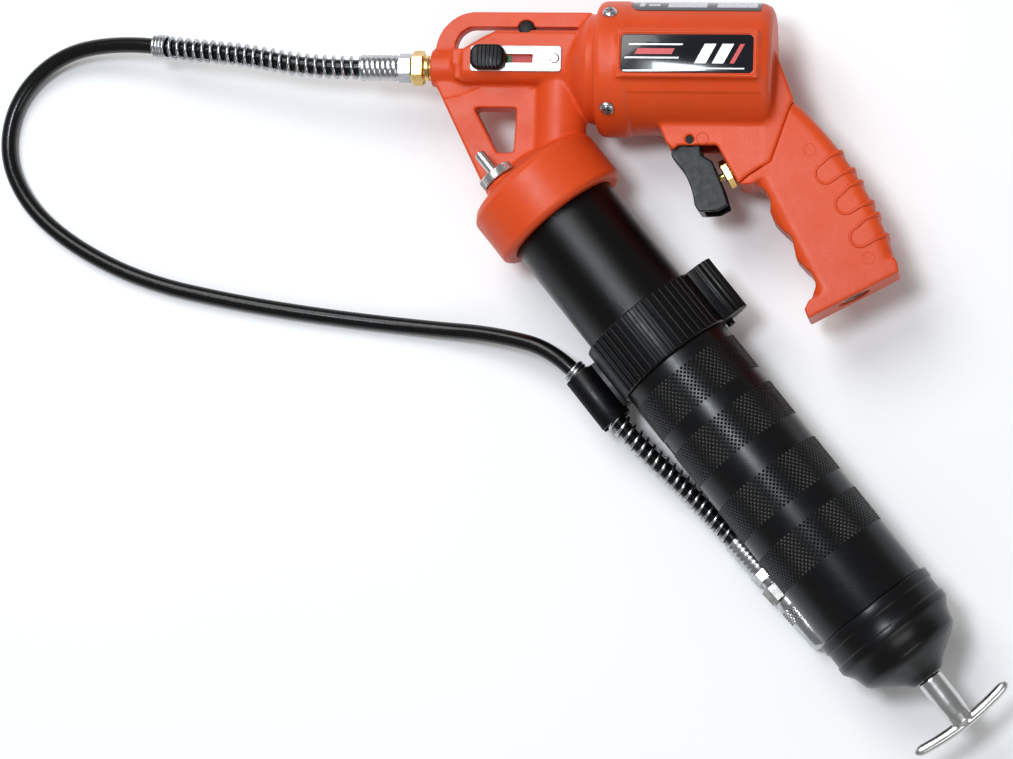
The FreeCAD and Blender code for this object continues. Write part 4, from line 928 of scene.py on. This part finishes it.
# ---------------------------------------------------------------- inside the motor
# A steel piston with a rubber seal drives the grease plunger in a hardened sleeve, and a coil
# spring returns it. A liner, gaskets and a spring-loaded check ball complete the pump.

keep("pump_sleeve", satin_steel)
keep("outlet_ball", satin_steel)
keep("motor_liner", satin_steel)
keep("air_piston", satin_steel)
keep("motor_gasket", black_rubber)
keep("barrel_gasket", black_rubber)
keep("piston_seal", black_rubber)


def straight_spring(name, node, place, start, end, radius, wire_radius, coils):
    """A coil spring between two places on a frame's x axis."""
    spring = through_tree(winding_tree, line_mesh([Vector((start, 0, 0)), Vector((end, 0, 0))]), {
        "Coils": coils, "Coil Radius": radius, "Wire Radius": wire_radius, "Finish": bright_zinc}, place)
    piece = fitted(name, node, [spring])
    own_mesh(piece)


straight_spring("return_spring_wire", "return_spring", PUMP, start=93.4, end=136.6, radius=14.5,
                wire_radius=1.2, coils=6.5)
straight_spring("outlet_spring_wire", "outlet_spring", PUMP, start=3.2, end=10.1, radius=3.0,
                wire_radius=0.35, coils=5.0)

# ---------------------------------------------------------------- handle
# The handle is a casting with waves for the fingers, three beads in long loops round its back
# and a flared end with the threaded air inlet. It meets the motor casting at a fine joint.

GRIP = local_frame(-61.4, 206, -111.6)
BACK_ARC = [Vector((-112, 12.1)), Vector((-58, 27.5)), Vector((-4, 25.2))]


def back_of_handle(u):
    """How far the handle's back stands off at a distance along it: the arc through three points."""
    a, b, c = BACK_ARC
    spread = 2 * (a.x * (b.y - c.y) + b.x * (c.y - a.y) + c.x * (a.y - b.y))
    cu = (a.length_squared * (b.y - c.y) + b.length_squared * (c.y - a.y)
          + c.length_squared * (a.y - b.y)) / spread
    cv = (a.length_squared * (c.x - b.x) + b.length_squared * (a.x - c.x)
          + c.length_squared * (b.x - a.x)) / spread
    radius = (a - Vector((cu, cv))).length
    return cv + math.sqrt(radius ** 2 - (u - cu) ** 2)


def finger_loop(end_u, end_v, upper_u, lower_u):
    """One closed bead: a round end on each side of the handle, joined by two arms over its back."""
    radius = 4.9
    face = 14.45
    turn = 6.0
    line = []
    widths = []

    def arm(u_start, u_end, side, reverse):
        """From a round end, up one side and over to the middle of the back."""
        back = back_of_handle(u_end)
        part = [(u_start, end_v, face * side, 0.75)]
        part.append(((u_start + u_end) / 2, (end_v + back - turn) / 2, face * side, 0.85))
        for step in range(7):
            angle = step * math.pi / 12
            part.append((u_end, back - turn + turn * math.sin(angle),
                         side * (face - turn + turn * math.cos(angle)),
                         0.95 + 0.5 * step / 6))
        return part[::-1] if reverse else part

    def end(side, from_upper):
        """The round end on one side, taken from the upper or the lower arm."""
        part = []
        for step in range(1, 12):
            angle = math.pi * step / 12
            part.append((end_u - radius * math.cos(angle), end_v - radius * math.sin(angle),
                         face * side, 0.75))
        return part if from_upper else part[::-1]

    high = end_u - radius
    low = end_u + radius
    route = (arm(high, upper_u, 1, False) + arm(high, upper_u, -1, True) + end(-1, True)
             + arm(low, lower_u, -1, False) + arm(low, lower_u, 1, True) + end(1, False))
    for u, v, z, width in route:
        line.append((u, v, z))
        widths.append(width)
    return bead(line, widths, GRIP, orange_coat)


grip_pieces = [
    cast(solid_of("grip"), orange_coat, size=0.6 * MM, rounds=6, fillet_rounds=30),
    finger_loop(-58.8, 15.2, -65.4, -55.0),
    finger_loop(-41.1, 17.0, -48.0, -36.8),
    finger_loop(-23.6, 15.8, -30.3, -19.3)]
for x, y in ((183.3, -41.2), (212.9, -93.5)):
    ring_line = circle_line(x, y, 14.45, 2.9)
    grip_pieces.append(bead(ring_line, [0.2] * 40, PUMP, orange_coat))
fitted("handle_cast", "grip", grip_pieces)

inlet_profile = [(-17.2, 5.7), (-17.2, 8.3), (-1.2, 8.3), (-1.2, 5.9)]
for index in range(14):
    inlet_profile += [(-1.9 - index * 1.08, 5.72), (-2.44 - index * 1.08, 6.1)]
fitted("inlet_bushing_steel", "inlet_bushing", [
    turned(inlet_profile, GRIP, dark_steel, 64, 0.02, closed=True)])
brass_gauze = finish("brass_gauze", (0.7, 0.5, 0.18), 0.35, metallic=1)
worn(brass_gauze, 0.3, 0.5, 900, 2)
relief(brass_gauze, grain(brass_gauze, 2500, 1), 0.6, 0.0004)
keep("inlet_strainer", brass_gauze)

# ---------------------------------------------------------------- trigger and air valve
# The moulded trigger turns on a steel pin in the casting, near black as painted shade of its recess,
# and pushes the stem of a brass air valve, which is screwed into the handle with its six-sided head showing.

fitted("trigger_moulding", "trigger", [
    cast(solid_of("trigger"), black_moulding, size=0.4 * MM, rounds=4, fillet_rounds=10)], "trigger_lever")
# The pin's near-black rubber finish is painted shade: it stands in for the dark recess round the pin.
keep("trigger_pin", black_rubber)
VALVE = local_frame(29.6, 144.6, -50.3)
fitted("valve_body_brass", "valve_body", [
    hexagon(7.5, -4, 0, 1.65, VALVE, brass),
    turned([(0, 1.65), (0, 5), (19.4, 5), (20, 4.4), (20, 3.6), (5, 3.6), (5, 1.65)], VALVE, brass, 48, 0.2,
           closed=True)])
fitted("valve_stem_brass", "valve_stem", [
    turned([(-8, 0), (-8, 1.0), (-7.4, 1.6), (5.4, 1.6), (5.4, 3.2), (7.4, 3.2), (7.4, 1.2), (12, 1.2),
            (12, 0)],
           VALVE, brass, 32, 0.15)], "valve_plunger")
straight_spring("valve_spring_wire", "valve_spring", VALVE, start=7.9, end=19.5, radius=2.4,
                wire_radius=0.5, coils=6.5)

# ---------------------------------------------------------------- barrel
# The barrel is a steel tube with a grained black powder coat. A satin sleeve with four
# knurled bands covers its lower half, and a pressed cap closes it.

powder_coat = finish("powder_coat", (0.0015, 0.0015, 0.0018), 0.22, specular=0.26)
worn(powder_coat, 0.16, 0.26, 700, 3)
relief(powder_coat, grain(powder_coat, 1700, 2.5), 0.5, 0.00035)
sleeve_enamel = finish("sleeve_enamel", (0.0018, 0.002, 0.0026), 0.3, specular=0.3)
worn(sleeve_enamel, 0.27, 0.33, 240, 3)
relief(sleeve_enamel, grain(sleeve_enamel, 900, 2), 0.08, 0.0003)

tube = turned([(78.5, 27), (78.5, 28.5), (352, 28.5), (352, 27)], BARREL, powder_coat, 160, 0.2, closed=True)
fitted("barrel_tube_coated", "barrel_tube", [tube])

sleeve_pieces = [turned([(187.5, 28.5), (187.5, 29), (188, 29.3), (339.2, 29.3), (339.7, 29), (339.7, 28.5)],
                        BARREL, sleeve_enamel, 160, 0.2, closed=True)]
for middle in (205, 233.7, 268, 299):
    sleeve_pieces.append(knurled(BARREL, sleeve_enamel, front=middle - 10, back=middle + 10, radius=29.3,
                                 around=76, rows=15, height=0.4))
stands_for(whole("grip_sleeve_knurled", sleeve_pieces), "grip_sleeve")

cap_profile = [
    (339.7, 28.5), (339.7, 31.0), (340.1, 31.4), (344.7, 31.4), (345.4, 30.7), (352.2, 30.7), (353, 31.4),
    (356.4, 31.4), (358.5, 29.9), (361, 28.2), (364, 27.2), (367.5, 26.4), (369.6, 24.8), (371.5, 22.2),
    (374.5, 17.6), (377.5, 12.8), (379.2, 10.7), (380.8, 9.3), (382, 8.0), (382, 4.05), (379, 4.05),
    (376, 10.9), (370, 21.2), (366, 24.8), (352, 25.5), (352, 28.5)]
fitted("end_cap_pressed", "end_cap", [turned(cap_profile, BARREL, sleeve_enamel, 160, 0.5, closed=True)])

# ---------------------------------------------------------------- follower and its handle
# A chromed T-handle on a steel rod pulls the follower cup back against its spring when the
# barrel is loaded. The handle is a casting that runs into the rod through a round neck.

chrome = finish("chrome_plate", (0.66, 0.66, 0.65), 0.24, metallic=1)
worn(chrome, 0.2, 0.32, 150, 3)
relief(chrome, grain(chrome, 160, 2), 0.06, 0.0006)


def handle_bar():
    """The curved cross bar, thinner at its rounded ends."""
    points = []
    widths = []
    for step in range(-14, 15):
        share = step / 14
        points.append((409.3 - 2.8 * share ** 2, 27.6 * share, 0))
        end = max(0.0, abs(share) - 0.86) / 0.14
        widths.append((2.95 - 0.25 * abs(share)) * math.sqrt(max(0.12, 1 - end ** 2 * 0.8)))
    return bead(points, widths, BARREL, chrome, closed=False)


neck = turned([(382.3, 0), (382.3, 5.6), (383.2, 6.5), (398, 6.4), (404, 5.9), (408.5, 4.6), (410.5, 2.4),
               (411.4, 0)],
              BARREL, chrome, 48)
pull = cast(whole("pull_raw", [neck, handle_bar()]), chrome, size=0.35 * MM, rounds=6, fillet_rounds=60)
rod = turned([(106, 0), (106, 4), (383, 4), (383, 0)], BARREL, chrome, 48)
fitted("follower_handle_chromed", "follower_handle", [pull, rod], "follower")
keep("follower_cup", satin_steel)
straight_spring("follower_spring_wire", "follower_spring", BARREL, start=111.4, end=363, radius=18.5,
                wire_radius=1.1, coils=18.0)

# ---------------------------------------------------------------- hose holder
# A moulded ring clamps round the barrel with two lugs and a pin on one side, and holds the
# hose in an open clip on the other. Fine ribs run round the ring and over the lugs.


def extruded(outline, low, high, place, made, soft=0.4):
    """An outline of (side, height) points drawn out along the x axis, with softened ends."""
    spots = [(low, side, height) for side, height in outline]
    return drawn_out(spots, (high - low, 0, 0), place, made, soft, 2, 40, True)


def lug_outline(side):
    """One clamping lug from its end: a step by the ring, a round shoulder, and four ribs on its edge."""
    points = [(21, 0.6), (21, 8.5), (26.4, 8.5), (26.8, 9.1), (27.6, 9.1), (28.0, 8.6)]
    for step in range(61):
        share = step / 60
        angle = math.pi / 2 * (1 - share)
        rib = max(0.0, share - 0.3) / 0.7
        wave = 0.95 * abs(math.sin(rib * 4 * math.pi)) if rib else 0.0
        points.append((28.5 + (14.3 + wave) * math.cos(angle), 0.6 + (7.9 + wave) * math.sin(angle)))
    return [(c, side * z) for c, z in points]


CLIP_SIDE = -41.8
CLIP_DROP = -14
clip_outline = []
for radius, steps in ((8.8, range(33)), (7.2, range(32, -1, -1))):
    for step in steps:
        angle = math.radians(-148 + 296 * step / 32)
        clip_outline.append((CLIP_SIDE + radius * math.cos(angle), CLIP_DROP + radius * math.sin(angle)))
bridge_outline = [(-34.9, -18), (-25, -18), (-25, -10), (-34.9, -10)]
holder_pieces = [
    turned([(158, 28.5), (158, 31), (158.6, 31.6), (186.9, 31.6), (187.5, 31), (187.5, 28.5)], BARREL,
           black_moulding, 160, 0.2, closed=True),
    extruded(lug_outline(1), 158, 187.5, BARREL, black_moulding),
    extruded(lug_outline(-1), 158, 187.5, BARREL, black_moulding),
    extruded(clip_outline, 161, 190.5, BARREL, black_moulding, 0.3),
    extruded(bridge_outline, 161, 187.5, BARREL, black_moulding)]
holder_rib = rounded_box((-14.4, -1.2, 31.0), (14.4, 1.2, 32.5), 0.6, 0.5, Matrix.Translation((172.75, 0, 0)),
                         black_moulding)
rib_step = math.radians(7.2)
for first_angle, count in ((-58, 17), (122, 14)):
    first = BARREL @ Matrix.Rotation(math.radians(first_angle), 4, "X")
    ribs = repeated(holder_rib, first, black_moulding, 1, 0, count, rib_step)
    ribs.shade_smooth()
    holder_pieces.append(ribs)
fitted("hose_holder_moulding", "hose_holder", holder_pieces)
keep("holder_pin", black_moulding)
